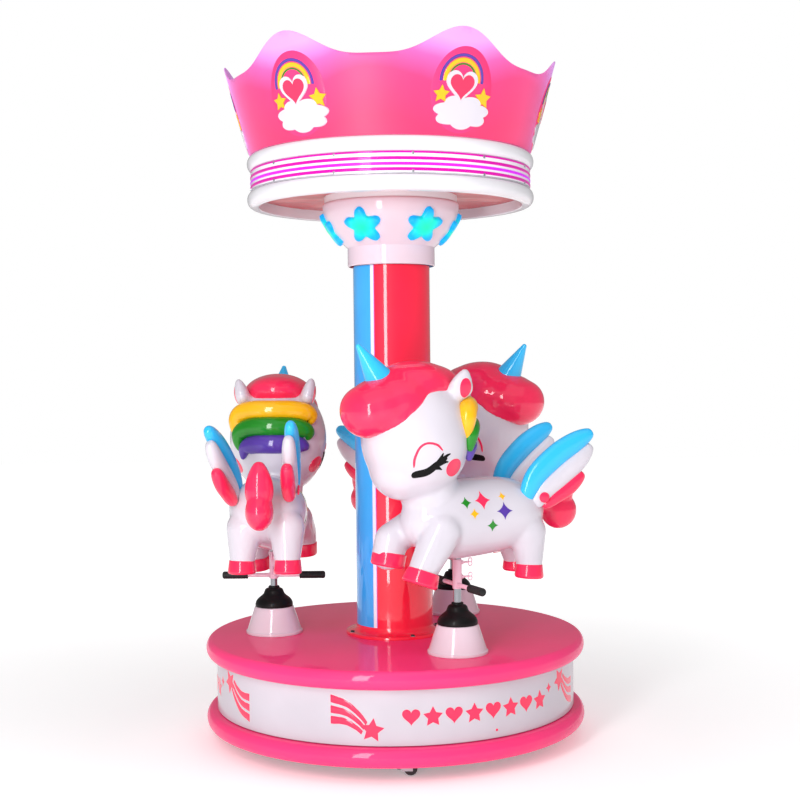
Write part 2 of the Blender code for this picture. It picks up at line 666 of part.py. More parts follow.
def wing(body, side):
    """Three feathers that lean out from the rump, trimmed to lie against it."""
    feathers = [
        feather((-0.192, 0.500), (-0.412, 0.704), 0.038),
        feather((-0.225, 0.466), (-0.408, 0.646), 0.038),
        feather((-0.255, 0.462), (-0.390, 0.560), 0.032),
    ]
    blade = melted(feathers, 0.008, 110)
    offset, lean, splay = WINGS[side]
    turn = Matrix.Rotation(math.radians(-side * splay), 4, "Z") @ Matrix.Rotation(math.radians(-side * lean), 4, "X")
    blade = moved(blade, Matrix.Translation(Vector(offset) + WING_HINGE) @ turn @ Matrix.Translation(-WING_HINGE))
    swollen = baked(body, ("DISPLACE", {"strength": 0.0006, "mid_level": 0.0}))
    return cut(blade, swollen)


# Assembly


def build_fixed_base():
    place("lower_ring", finished(lower_ring(), paint("lower_ring_gelcoat", PINK)))
    place("chassis_frame", finished(chassis_frame(), paint("chassis_frame_paint", STEEL, 0.45, 0.6)))
    place("center_spindle", finished(center_spindle(), paint("center_spindle_steel", BRIGHT, 0.3, 1.0)))
    place("center_foot", finished(center_foot(), paint("center_foot_rubber", BLACK, 0.7)))
    drive = bearing_frame(DRIVE_DEG)
    place("gearmotor", finished(moved(gearmotor(), drive), paint("gearmotor_paint", STEEL, 0.4, 0.5)))
    box_frame = bearing_frame(ARM_BEARINGS[2])
    place("control_box", finished(moved(control_box(), box_frame), paint("control_box_paint", WHITE, 0.5)))
    hub = empty("drive_wheel_axis", bearing_point(DRIVE_DEG, FRICTION_R, DRIVE_Z), math.radians(DRIVE_DEG + 180))
    place("drive_wheel", finished(drive_wheel(), paint("drive_wheel_rubber", BLACK, 0.6)), hub)
    fork = finished(caster_fork(), paint("caster_fork_zinc", STEEL, 0.35, 1.0))
    wheel = finished(caster_wheel(), paint("caster_wheel_rubber", BLACK, 0.55))
    foot = finished(leveling_foot(), paint("leveling_foot_zinc", STEEL, 0.4, 0.8))
    for index, bearing in enumerate(ARM_BEARINGS, 1):
        turn = math.radians(bearing)
        swivel = empty(f"caster_{index}_swivel", bearing_point(bearing, CASTER_R), turn)
        place(f"caster_fork_{index}", fork, swivel)
        place(f"caster_wheel_{index}", wheel, swivel, (CASTER_TRAIL, 0, CASTER_LIFT + CASTER_WHEEL_R))
        place(f"leveling_foot_{index}", foot, None, bearing_point(bearing, FOOT_R))


def build_turntable():
    place("turntable_frame", finished(turntable_frame(), paint("turntable_frame_paint", STEEL, 0.45, 0.6)))
    place("deck", finished(deck(), paint("deck_gelcoat", PINK)))
    place("skirt", finished(skirt(), paint("skirt_gelcoat", WHITE)))
    place("mast", finished(mast(), paint("mast_paint", STEEL, 0.5, 0.6)))
    place("column_shell", finished(column_shell(), paint("column_shell_gelcoat", HOT_PINK)))
    place("capital", finished(capital(), paint("capital_gelcoat", BLUSH)))
    place("star_lens", finished(star_lens(), paint("star_lens_acrylic", TEAL, 0.15)))
    place("canopy_base", finished(canopy_base(), paint("canopy_base_gelcoat", WHITE)))
    place("light_band", finished(light_band(), paint("light_band_acrylic", WHITE, 0.3)))
    place("canopy_ring", finished(canopy_ring(), paint("canopy_ring_gelcoat", WHITE)))
    place("crown", finished(crown(), paint("crown_gelcoat", CROWN_PINK)))


def build_seats():
    body = melted(unicorn_shapes(), 0.011, 760)
    wings = {side: wing(body, side) for side in (-1, 1)}
    white, sky, blush = paint("unicorn_gelcoat", WHITE), paint("wing_gelcoat", SKY), paint("foot_bar_paint", BLUSH, 0.35)
    rubber = paint("foot_grip_rubber", BLACK, 0.6)
    shaft = finished(lift_shaft(), paint("lift_shaft_chrome", BRIGHT, 0.15, 1.0))
    boot = finished(gaiter(), paint("gaiter_rubber", BLACK, 0.5))
    pedestal = finished(pod(), paint("pod_gelcoat", BLUSH))
    crank_mesh = finished(crank(), paint("crank_steel", STEEL, 0.35, 0.9))
    rod = finished(connecting_rod(), paint("connecting_rod_steel", STEEL, 0.4, 0.9))
    for index, (bearing, lift, pin_side) in STATIONS.items():
        station = empty(f"station_{index}", bearing_point(bearing, STATION_R, DECK_Z), math.radians(bearing + 180))
        place(f"pod_{index}", pedestal, station)
        place(f"gaiter_{index}", boot, station)
        slide = empty(f"unicorn_{index}_lift", (0, 0, lift), parent=station)
        turn, dip, bar_turn = SITTING[index]
        place(f"unicorn_{index}_body", finished(bored(seated(body, turn, dip)), white), slide)
        for side, tag in ((1, "left"), (-1, "right")):
            place(f"unicorn_{index}_wing_{tag}", finished(seated(wings[side], turn, dip), sky), slide)
            grip = moved(foot_grip(), Matrix.Rotation(math.radians(bar_turn + 90 - 90 * side), 4, "Z"))
            place(f"foot_grip_{index}_{tag}", finished(grip, rubber), slide)
        place(f"lift_shaft_{index}", shaft, slide)
        place(f"foot_bar_{index}", finished(seated(foot_bar(), bar_turn, 0), blush), slide)
        rise = ROD_LENGTH + lift
        cosine = (CRANK_THROW**2 + rise**2 - ROD_LENGTH**2) / (2 * CRANK_THROW * rise)
        crank_turn = pin_side * math.acos(cosine)
        rod_turn = -math.asin(CRANK_THROW * math.sin(crank_turn) / ROD_LENGTH)
        place(f"crank_{index}", crank_mesh, station, (0, 0, AXLE_Z - DECK_Z), crank_turn)
        place(f"connecting_rod_{index}", rod, slide, (0, 0, CLEVIS_Z), rod_turn)


build_fixed_base()
build_turntable()
build_seats()
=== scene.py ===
"""Visual model of a three-seat mini carousel kiddie ride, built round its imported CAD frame. Metres, +Z up."""

import json
from math import atan2, ceil, cos, degrees, hypot, pi, radians, sin, sqrt, tan

import bmesh
import bpy
import numpy as np
from mathutils import Matrix, Vector
from mathutils.bvhtree import BVHTree


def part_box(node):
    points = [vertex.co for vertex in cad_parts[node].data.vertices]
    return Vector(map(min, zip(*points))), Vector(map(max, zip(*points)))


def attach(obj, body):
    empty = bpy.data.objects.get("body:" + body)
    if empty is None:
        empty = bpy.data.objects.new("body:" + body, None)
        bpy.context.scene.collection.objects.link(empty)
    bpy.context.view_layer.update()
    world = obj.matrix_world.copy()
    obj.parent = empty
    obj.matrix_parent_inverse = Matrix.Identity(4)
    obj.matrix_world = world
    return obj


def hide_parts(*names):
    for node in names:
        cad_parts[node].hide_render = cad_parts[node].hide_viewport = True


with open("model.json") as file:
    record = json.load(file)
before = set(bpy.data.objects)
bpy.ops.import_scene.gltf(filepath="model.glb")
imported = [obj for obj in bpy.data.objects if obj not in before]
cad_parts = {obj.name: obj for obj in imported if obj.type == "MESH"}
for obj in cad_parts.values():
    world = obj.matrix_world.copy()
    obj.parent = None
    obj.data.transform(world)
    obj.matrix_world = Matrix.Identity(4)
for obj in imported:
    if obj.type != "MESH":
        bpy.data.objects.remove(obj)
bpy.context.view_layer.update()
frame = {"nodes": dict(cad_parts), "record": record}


def cad_z(node):
    """The lowest and the highest Z of a CAD node."""
    low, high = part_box(node)
    return low.z, high.z


def cad_radius(node):
    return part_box(node)[1].x


# Places that the CAD gives
RIM_BOTTOM_Z, DECK_Z = cad_z("deck")
SKIRT_Z, RING_Z, BAND_Z = cad_z("skirt"), cad_z("lower_ring"), cad_z("light_band")
CANOPY_LOW, CANOPY_HIGH = cad_z("canopy_base"), cad_z("canopy_ring")
COLUMN_TOP, CAPITAL_TOP = cad_z("column_shell")[1], cad_z("capital")[1]
POD_TOP, BOOT_TOP = cad_z("pod_1")[1] - DECK_Z, cad_z("gaiter_1")[1] - DECK_Z
RIM_R, SKIRT_R, BAND_R = cad_radius("deck"), cad_radius("skirt"), cad_radius("light_band")
COLUMN_FLANGE_R, CANOPY_R = cad_radius("column_shell"), cad_radius("canopy_base")

# Other dimensions, with heights counted from the deck
GAP, WALL = 0.0003, 0.004
RING_INNER_R, EDGE_NOSE, CANOPY_NOSE = 0.575, 0.022, 0.02
COLUMN_R, FLARE, MAST_HOLE_R = 0.132, 0.022, 0.0455
BOLT_FIRST_DEG, BOLT_CIRCLE_R = -66.4, 0.1575
COLLAR_R, LIP_R, BOWL_Z = 0.15, 0.235, (1.328, 1.47)
STAR_Z, STAR_R, STAR_FIRST_DEG = 1.387, 0.068, -25.2
PLATE_Z = (1.503, 1.509)
CROWN_BASE_R, CROWN_TOP_R, CROWN_WALL = 0.481, 0.573, 0.0045
CROWN_Z, CROWN_SAG = (1.6383, 1.876, 1.963), 0.012
PEAKS, CROWN_FIRST_DEG = 6, -33.75
STATION_R = 0.42
STATIONS = {1: (30.0, 0.0037), 2: (-90.0, -0.015), 3: (150.0, -0.0046)}
# How each unicorn sits on its shaft, in degrees: its turn, its nose's dip and its foot bar's turn
SITTING = {1: (0.0, 0.0, -4.5), 2: (0.0, 6.3, 0.0), 3: (-4.0, -2.7, -4.0)}
BELLY_Z = 0.3
SHAFT_R, SLEEVE_R, SLEEVE_TOP = 0.0125, 0.015, 0.297
BAR_Z, BAR_HALF, BAR_R = 0.2145, 0.176, 0.007
GRIP_TIP, GRIP_LENGTH, GRIP_RIBS = 0.1795, 0.089, 13
SIDES = ((1, "left"), (-1, "right"))
# The middle of a blue band of the column, then half its width, also with its white edge and its violet line
STRIPE_DEG, BLUE_DEG, WHITE_DEG, VIOLET_DEG = -57.5, 26.0, 31.2, 32.4
FLANGE_RISE = 0.0335
PAINT_LIFT, PAINT_SUNK, BADGE_LIFT, BADGE_SUNK = 0.0007, 0.0008, 0.0012, 0.0012
SEGMENTS = 144
AMBIENT, MIRRORED_AMBIENT = 0.44, 0.3
FLOOR_GLOW = (0.28, 0.66)
SOFT_SPECULAR, PLAIN_SPECULAR = 0.2, 0.5
WHITE = (1.0, 1.0, 1.0, 1)


def srgb(red, green, blue):
    """The linear colour of an sRGB one, given from 0 to 255."""
    return (*(((c / 255 + 0.055) / 1.055) ** 2.4 for c in (red, green, blue)), 1.0)


# Materials


def wire(tree, node, sockets):
    """Sets sockets of a node to values, or links them to other sockets."""
    for key, value in sockets.items():
        if isinstance(value, bpy.types.NodeSocket):
            tree.links.new(value, node.inputs[key])
        else:
            node.inputs[key].default_value = value


def add(tree, kind, sockets=None, **settings):
    made = tree.nodes.new("ShaderNode" + kind)
    for key, value in settings.items():
        setattr(made, key, value)
    wire(tree, made, sockets or {})
    return made


def calc(tree, operation, first, second=0.0):
    return add(tree, "Math", {0: first, 1: second}, operation=operation).outputs[0]


def length(tree, vector):
    return add(tree, "VectorMath", {0: vector}, operation="LENGTH").outputs["Value"]


def ramp(tree, factor, stops, interpolation="LINEAR"):
    """A colour ramp from (position, colour) stops."""
    made = add(tree, "ValToRGB", {"Fac": factor})
    made.color_ramp.interpolation = interpolation
    elements = made.color_ramp.elements
    while len(elements) < len(stops):
        elements.new(1.0)
    for element, (position, tint) in zip(elements, stops):
        element.position = position
        element.color = tint
    return made.outputs["Color"]


def shade(tint, factor):
    return (*(min(channel * factor, 1.0) for channel in tint[:3]), 1.0)


def noise(tree, coords, scale, detail=3.0):
    return add(tree, "TexNoise", {"Vector": coords, "Scale": scale, "Detail": detail}).outputs["Fac"]


def new_tree(block):
    block.use_nodes = True
    return block.node_tree


def material(name, tint, roughness=0.42, metallic=0.0, coat=0.8, grain=(90.0, 0.03), mottle=0.05, wear=0.08):
    """A finish with slow colour drift, uneven gloss and fine surface grain.

    tint is an sRGB colour, or a function that makes a colour socket from the tree and its coordinates."""
    made = bpy.data.materials.new(name)
    tree = new_tree(made)
    coords = add(tree, "TexCoord").outputs["Object"]
    if callable(tint):
        base = tint(tree, coords)
    else:
        shades = [(0.3, shade(srgb(*tint), 1 - mottle)), (0.7, shade(srgb(*tint), 1 + mottle))]
        base = ramp(tree, noise(tree, coords, 3.5), shades)
    smudge = noise(tree, coords, 14.0, 5.0)
    gloss = add(tree, "MapRange", {"Value": smudge, "To Min": roughness, "To Max": roughness + wear})
    scale, strength = grain
    peel = noise(tree, coords, scale, 2.0)
    bump = add(tree, "Bump", {"Height": peel, "Strength": strength, "Distance": 0.002})
    looks = {"Base Color": base, "Roughness": gloss.outputs["Result"], "Normal": bump.outputs["Normal"]}
    looks["Specular IOR Level"] = SOFT_SPECULAR if coat and not metallic else PLAIN_SPECULAR
    looks |= {"Metallic": metallic, "Coat Weight": coat, "Coat Roughness": 0.04}
    wire(tree, tree.nodes["Principled BSDF"], looks)
    return made


def lit(made, strength):
    """Makes a material glow with its own colour."""
    shader = made.node_tree.nodes["Principled BSDF"]
    source = shader.inputs["Base Color"].links[0].from_socket
    wire(made.node_tree, shader, {"Emission Color": source, "Emission Strength": strength})


def pearly(made):
    """Gives a material a violet sheen where its surface turns away."""
    sheen = {"Sheen Weight": 1.0, "Sheen Roughness": 0.4, "Sheen Tint": srgb(225, 176, 255)}
    wire(made.node_tree, made.node_tree.nodes["Principled BSDF"], sheen)


def round_the_ride(tree, coords, start):
    """The bearing in radians from a start in degrees, and the height."""
    split = add(tree, "SeparateXYZ", {"Vector": coords})
    back = calc(tree, "MULTIPLY", split.outputs["Y"], -1.0)
    turn = calc(tree, "ARCTAN2", split.outputs["X"], back)
    return calc(tree, "SUBTRACT", turn, radians(start)), split.outputs["Z"]


def mixed(tree, factor, first, second):
    made = add(tree, "MixRGB", {"Fac": factor, "Color1": first, "Color2": second})
    return made.outputs["Color"]


def column_paint(tree, coords):
    """Two opposite sky blue bands with white edges and a thin violet line, on red-pink."""
    from_middle, height = round_the_ride(tree, coords, STRIPE_DEG)
    away = calc(tree, "PINGPONG", from_middle, pi / 2)
    share = calc(tree, "DIVIDE", away, pi / 2)
    drift = noise(tree, coords, 2.5)
    blues = ramp(tree, drift, [(0.3, srgb(44, 160, 246)), (0.7, srgb(70, 182, 252))])
    pinks = ramp(tree, drift, [(0.3, srgb(246, 20, 56)), (0.7, srgb(252, 30, 72))])
    edges = [(0.0, srgb(236, 236, 250)), (WHITE_DEG / 90, srgb(190, 110, 225))]
    past_blue = calc(tree, "GREATER_THAN", share, BLUE_DEG / 90)
    past_edge = calc(tree, "GREATER_THAN", share, VIOLET_DEG / 90)
    on_flange = calc(tree, "LESS_THAN", height, DECK_Z + FLANGE_RISE)
    plain = calc(tree, "MAXIMUM", past_edge, on_flange)
    return mixed(tree, plain, mixed(tree, past_blue, blues, ramp(tree, share, edges, "CONSTANT")), pinks)


def crown_paint(tree, coords):
    """Pink that turns lighter and more violet towards the peaks."""
    from_peak, height = round_the_ride(tree, coords, CROWN_FIRST_DEG)
    ends = {"From Min": DECK_Z + CROWN_Z[0], "From Max": DECK_Z + CROWN_Z[2]}
    rise = add(tree, "MapRange", {"Value": height, **ends}).outputs["Result"]
    wave = calc(tree, "COSINE", calc(tree, "MULTIPLY", from_peak, float(PEAKS)))
    blotch = calc(tree, "MULTIPLY", noise(tree, coords, 4.0), 0.12)
    paler = calc(tree, "ADD", blotch, calc(tree, "MULTIPLY", wave, 0.09))
    stops = [(0.15, srgb(255, 46, 104)), (0.58, srgb(254, 54, 122)), (0.8, srgb(254, 92, 176))]
    return ramp(tree, calc(tree, "ADD", rise, paler), [*stops, (1.0, srgb(253, 160, 240))])


def star_paint(tree, coords):
    """Sea green in the middle of each lens, blue towards its lobes, from the lens's own coordinates."""
    reach = length(tree, coords)
    swirl = calc(tree, "MULTIPLY", noise(tree, coords, 18.0, 1.0), 0.028)
    share = calc(tree, "DIVIDE", calc(tree, "ADD", reach, swirl), 0.075)
    stops = [(0.25, srgb(10, 236, 158)), (0.62, srgb(2, 205, 188)), (0.95, srgb(0, 158, 222))]
    return ramp(tree, share, stops)


# Each finish: colour or paint, then what differs of roughness, metallic, coat, grain, mottle and wear
FINISHES = {
    "base_pink": ((255, 56, 124), 0.5, 0, 0.45),
    "skirt_white": ((203, 198, 207), 0.42, 0, 0.5),
    "frame_steel": ((120, 124, 130), 0.42, 0.5, 0, (160, 0.12), 0.12, 0.15),
    "bright_steel": ((190, 190, 195), 0.24, 1, 0, (220, 0.06), 0.08, 0.15),
    "foot_rubber": ((30, 30, 31), 0.6, 0, 0, (180, 0.2), 0.2, 0.15),
    "motor_grey": ((130, 133, 138), 0.35, 0.3, 0.1, (140, 0.15), 0.1, 0.15),
    "control_box_grey": ((200, 200, 200), 0.4, 0, 0, (200, 0.15), 0.06, 0.1),
    "tread_rubber": ((34, 34, 36), 0.45, 0, 0, (200, 0.2), 0.2, 0.2),
    "column_red_pink": (column_paint, 0.42, 0, 1),
    "blush": ((229, 209, 221),),
    "star_glow": (star_paint, 0.4, 0, 0.3),
    "canopy_white": ((230, 228, 233),),
    "canopy_under": ((188, 38, 48), 0.3, 0, 0.3, (7, 0.9), 0.12, 0.15),
    "band_white": ((246, 240, 250), 0.25),
    "led_magenta": ((206, 0, 158), 0.3, 0, 0.3),
    "led_violet": ((208, 30, 228), 0.3, 0, 0.3),
    "crown_pink": (crown_paint, 0.42, 0, 0),
    "emblem_pink": ((254, 62, 124), 0.34, 0, 0.05),
    "gaiter_rubber": ((12, 12, 13), 0.42, 0, 0.08, (150, 0.12), 0.25, 0.2),
    "unicorn_white": ((214, 208, 218),),
    "hair_pink": ((254, 38, 88),),
    "wing_blue": ((44, 190, 250),),
    "lock_yellow": ((255, 186, 0),),
    "lock_green": ((14, 136, 18),),
    "lock_purple": ((84, 52, 160),),
    "eye_black": ((5, 5, 6), 0.6, 0, 0.04),
    "chrome": ((150, 150, 156), 0.08, 1, 0, (260, 0.02), 0.05, 0.1),
    "sleeve_blush": ((245, 196, 214), 0.26, 0, 0.3, (220, 0.08)),
    "grip_rubber": ((16, 16, 18), 0.5, 0, 0, (260, 0.25), 0.25, 0.2),
    "linkage_steel": ((165, 165, 170), 0.34, 0.9, 0, (200, 0.08), 0.12, 0.2),
    "zinc": ((180, 183, 188), 0.3, 0.9, 0, (120, 0.08), 0.15, 0.2),
}
MATERIALS = {name: material(name, *finish) for name, finish in FINISHES.items()}
for glowing, glow in (("star_glow", 0.6), ("led_magenta", 0.22), ("led_violet", 0.3)):
    lit(MATERIALS[glowing], glow)
pearly(MATERIALS["crown_pink"])
# Finishes that are a shade of one of the record's slots
SHADES_OF = {"emblem_pink": "crown_pink", "led_violet": "led_magenta"}

# Meshes


def mm(rows):
    """Nested rows of millimetres as metres."""
    return rows / 1000 if isinstance(rows, (int, float)) else [mm(row) for row in rows]


def turns(steps):
    """The angles of one turn in even steps."""
    return [2 * pi * step / steps for step in range(steps)]


def linked(name, data):
    """A new object in the scene."""
    made = bpy.data.objects.new(name, data)
    bpy.context.scene.collection.objects.link(made)
    return made


def mesh_of(bm):
    bmesh.ops.recalc_face_normals(bm, faces=bm.faces)
    mesh = bpy.data.meshes.new("shape")
    bm.to_mesh(mesh)
    bm.free()
    return mesh


def stitch(bm, rings, count):
    """Joins rings of count vertices, or of one, to the next ring with faces."""
    for near, far in zip(rings, rings[1:]):
        for spot in range(count):
            after = (spot + 1) % count
            walk = (near, spot), (far, spot), (far, after), (near, after)
            corners = list(dict.fromkeys(ring[index % len(ring)] for ring, index in walk))
            if len(corners) > 2:
                bm.faces.new(corners)
    return mesh_of(bm)


def baked(mesh, *setups):
    """The mesh after modifiers: each setup is (modifier type, its settings)."""
    base = linked("base", mesh)
    tools = []
    for kind, settings in setups:
        modifier = base.modifiers.new(kind.lower(), kind)
        for key, value in settings.items():
            if isinstance(value, bpy.types.Mesh):
                value = linked("tool", value)
                tools.append(value)
            setattr(modifier, key, value)
    bpy.context.view_layer.update()
    result = bpy.data.meshes.new_from_object(base.evaluated_get(bpy.context.evaluated_depsgraph_get()))
    for spent in (base, *tools):
        bpy.data.objects.remove(spent)
    return result


def without(mesh, tool):
    return baked(mesh, ("BOOLEAN", {"operation": "DIFFERENCE", "object": tool}))


def moved(mesh, matrix):
    copy = mesh.copy()
    copy.transform(matrix)
    if matrix.is_negative:
        copy.flip_normals()
    return copy


def joined(*meshes):
    bm = bmesh.new()
    for mesh in meshes:
        bm.from_mesh(mesh)
    return mesh_of(bm)


def show(name, mesh, slot, replaces=(), place=None, body="turntable", sharp=40):
    """Puts a mesh in the scene with its slot's material, riding on a body."""
    if not mesh.materials:
        mesh.materials.append(MATERIALS[slot])
        mesh.shade_smooth()
        mesh.set_sharp_from_angle(angle=radians(sharp))
    obj = linked(name, mesh)
    if place is not None:
        obj.matrix_world = place
    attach(obj, body)
    SHADES_OF.get(slot, slot)
    if replaces:
        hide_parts(*replaces)


put = Matrix.Translation


def spun(angle, axis):
    return Matrix.Rotation(radians(angle), 4, axis)


def facing(spot, along, axis="Z"):
    """A place whose axis points along a vector."""
    return put(spot) @ along.to_track_quat(axis, "Y").to_matrix().to_4x4()


def bearing_point(bearing, radius, z=0.0):
    turn = radians(bearing)
    return Vector((radius * sin(turn), -radius * cos(turn), z))


def bearing_frame(bearing, radius=0.0, z=0.0):
    """A place on the ride whose +Y points outwards, and +X clockwise seen from above."""
    return put(bearing_point(bearing, radius, z)) @ spun(bearing + 180, "Z")


def filleted(corners, steps=4):
    """A closed outline of (radius, height, fillet) corners, each rounded by its fillet."""
    outline = []
    for index, (x, y, fillet) in enumerate(corners):
        here = Vector((x, y))
        if not fillet:
            outline.append((x, y))
            continue
        to_last = (Vector(corners[index - 1][:2]) - here).normalized()
        to_next = (Vector(corners[(index + 1) % len(corners)][:2]) - here).normalized()
        half = to_last.angle(to_next) / 2
        centre = here + (to_last + to_next).normalized() * fillet / sin(half)
        start = here + to_last * fillet / tan(half) - centre
        end = here + to_next * fillet / tan(half) - centre
        for step in range(steps + 1):
            spoke = start.lerp(end, step / steps).normalized() * fillet
            outline.append(tuple(centre + spoke))
    return outline


def nose(radius, z_low, z_high, depth, steps=14):
    """A half-round edge, from its top down to its bottom."""
    middle, half = (z_low + z_high) / 2, (z_high - z_low) / 2
    outline = []
    for step in range(steps + 1):
        turn = pi * (0.5 - step / steps)
        outline.append((radius - depth + depth * cos(turn), middle + half * sin(turn)))
    return outline


def lathe(profile, segments=SEGMENTS, closed=True, shape=None):
    """A solid of revolution about Z. shape may move each (bearing in degrees, radius, height) point."""
    bm = bmesh.new()
    rings = []
    for radius, z in profile:
        ring = []
        for step in range(segments if radius > 1e-6 else 1):
            bearing = 360 * step / segments
            r, h = shape(bearing, radius, z) if shape else (radius, z)
            ring.append(bm.verts.new(bearing_point(bearing, r, h)))
        rings.append(ring)
    return stitch(bm, rings + rings[:1] if closed else rings, segments)


def cylinder(radius, start, end, segments=32, end_radius=None):
    start, end = Vector(start), Vector(end)
    along = end - start
    size = {"radius1": radius, "radius2": radius if end_radius is None else end_radius, "depth": along.length}
    bm = bmesh.new()
    spot = facing((start + end) / 2, along)
    bmesh.ops.create_cone(bm, cap_ends=True, segments=segments, matrix=spot, **size)
    return mesh_of(bm)


def ellipsoid(centre, radii, tilt=0.0):
    """A ball stretched to radii, its nose dipped by tilt degrees about Y."""
    form = spun(tilt, "Y") @ Matrix.Diagonal((*radii, 1))
    bm = bmesh.new()
    spot = put(centre) @ form
    bmesh.ops.create_uvsphere(bm, u_segments=40, v_segments=24, radius=1.0, matrix=spot)
    return mesh_of(bm)


def limb(start, end, radius, end_radius):
    return [
        cylinder(radius, start, end, 40, end_radius),
        ellipsoid(start, (radius,) * 3),
        ellipsoid(end, (end_radius,) * 3),
    ]


def melted(shapes, voxel, smooth):
    """Overlapping closed shapes melted into one smooth moulding."""
    body = baked(joined(*shapes), ("REMESH", {"mode": "VOXEL", "voxel_size": voxel}))
    return baked(body, ("SMOOTH", {"factor": 0.5, "iterations": smooth}), ("SUBSURF", {"levels": 1}))


def spline(points, share):
    """A point of the smooth curve through rows of numbers, share running from 0 to 1."""
    rows = np.array(points, float)
    rows = np.vstack([2 * rows[0] - rows[1], rows, 2 * rows[-1] - rows[-2]])
    at = min(share * (len(rows) - 3), len(rows) - 3 - 1e-9)
    index = int(at)
    t = at - index
    a, b, c, d = rows[index : index + 4]
    return 0.5 * (2 * b + (c - a) * t + (2 * a - 5 * b + 4 * c - d) * t**2 + (3 * b - a - 3 * c + d) * t**3)


def swept(points, steps):
    """Shares along the curve that crowd at its ends, with the curve's point there and its direction."""
    for step in range(steps + 1):
        share = (1 - cos(pi * step / steps)) / 2
        ahead = spline(points, min(share + 0.01, 1.0)) - spline(points, max(share - 0.01, 0.0))
        yield share, spline(points, share), ahead


def sausage(points, across=(0, 1, 0), roundness=2.6, steps=36, sides=28):
    """A plump closed form through (x, y, z, half height, half thickness) rows, its thickness along across."""
    bm = bmesh.new()
    rings = []
    for share, row, ahead in swept(points, steps):
        along = Vector(ahead[:3]).normalized()
        side = (Vector(across) - along * along.dot(Vector(across))).normalized()
        up = along.cross(side)
        full = (1 - abs(2 * share - 1) ** roundness) ** (1 / roundness)
        if full < 1e-6:
            rings.append([bm.verts.new(row[:3])])
            continue
        ring = []
        for turn in turns(sides):
            offset = up * (row[3] * full * cos(turn)) + side * (row[4] * full * sin(turn))
            ring.append(bm.verts.new(Vector(row[:3]) + offset))
        rings.append(ring)
    return stitch(bm, rings, sides)


def pipe(points, radius, sides=10, steps=24):
    return sausage([(*point, radius, radius) for point in points], (0.31, 0.9, 0.27), 12, steps, sides)


def tread(grid, thickness):
    """A closed skin over a grid of surface points, whose rows run from edge to edge."""
    bm = bmesh.new()
    verts = [[bm.verts.new(point) for point in row] for row in grid]
    for row, following in zip(verts, verts[1:]):
        for index in range(len(row) - 1):
            corners = [row[index], row[index + 1], following[index + 1], following[index]]
            bm.faces.new(corners)
    bmesh.ops.remove_doubles(bm, verts=bm.verts, dist=1e-6)
    return baked(mesh_of(bm), ("SOLIDIFY", {"thickness": thickness, "offset": 0.0}))

def ribbon(land, edges, lift, thickness, parts=4, sunk=PAINT_SUNK):
    """A thin painted band between pairs of (x, y) edge points, sunk at both edges."""
    grid = []
    for start, end in edges:
        row = []
        for k in range(parts + 1):
            x, y = start + (end - start) * k / parts
            row.append(land(x, y, lift if 0 < k < parts else -sunk))
        grid.append(row)
    return tread(grid, thickness)


def star_outline(radius, points=5, waist=0.42, turn=0.0):
    """The (x, y) corners of a plain star, first point up."""
    outline = []
    for step in range(2 * points):
        angle = pi * step / points + turn
        reach = radius if step % 2 == 0 else radius * waist
        outline.append((reach * sin(angle), reach * cos(angle)))
    return outline


def heart_outline(size, steps=40):
    outline = []
    for t in turns(steps):
        x = 16 * sin(t) ** 3
        y = 13 * cos(t) - 5 * cos(2 * t) - 2 * cos(3 * t) - cos(4 * t)
        outline.append((size * x / 16, size * (y + 2.5) / 16))
    return outline


def polar_outline(steps, reach, wide=1.0, tall=1.0):
    """The (x, y) corners at reach(turn) from the middle, first corner up."""
    return [(wide * reach(turn) * sin(turn), tall * reach(turn) * cos(turn)) for turn in turns(steps)]


def oval_outline(wide, tall, steps=48):
    return polar_outline(steps, lambda turn: 1.0, wide, tall)


def cloud_outline(wide, tall, puffs=7, steps=112):
    return polar_outline(steps, lambda turn: 0.82 + 0.18 * abs(sin(puffs * turn / 2)), wide, tall)


def sparkle_outline(radius, steps=48, hollow=0.68):
    """A four-pointed star with hollow sides and slightly round tips."""

    def reach(turn):
        c, s = abs(cos(turn)), abs(sin(turn))
        return radius / (c**hollow + s**hollow) ** (1 / hollow)

    return polar_outline(steps, reach)


def subdivided(outline, length):
    """The outline with points added so that no side is longer than length."""
    finer = []
    for (x1, y1), (x2, y2) in zip(outline, outline[1:] + outline[:1]):
        count = max(1, ceil(hypot(x2 - x1, y2 - y1) / length))
        finer += [(x1 + (x2 - x1) * k / count, y1 + (y2 - y1) * k / count) for k in range(count)]
    return finer


def patch(outline, land, height, rings=5, centre=(0.0, 0.0)):
    """A low crowned badge whose edge sinks under the surface: land(x, y, lift) gives each point's place."""
    bm = bmesh.new()
    layers = [[bm.verts.new(land(*centre, height))]]
    for ring in range(1, rings + 1):
        lift = height if ring < rings else -BADGE_SUNK
        inset = {rings - 1: 0.97, rings: 1.0}.get(ring, ring / rings)
        spots = [(centre[0] + x * inset, centre[1] + y * inset) for x, y in outline]
        layers.append([bm.verts.new(land(*spot, lift)) for spot in spots])
    layers.append([bm.verts.new(land(*centre, -BADGE_SUNK))])
    return stitch(bm, layers, len(outline))


# Base, column and canopy


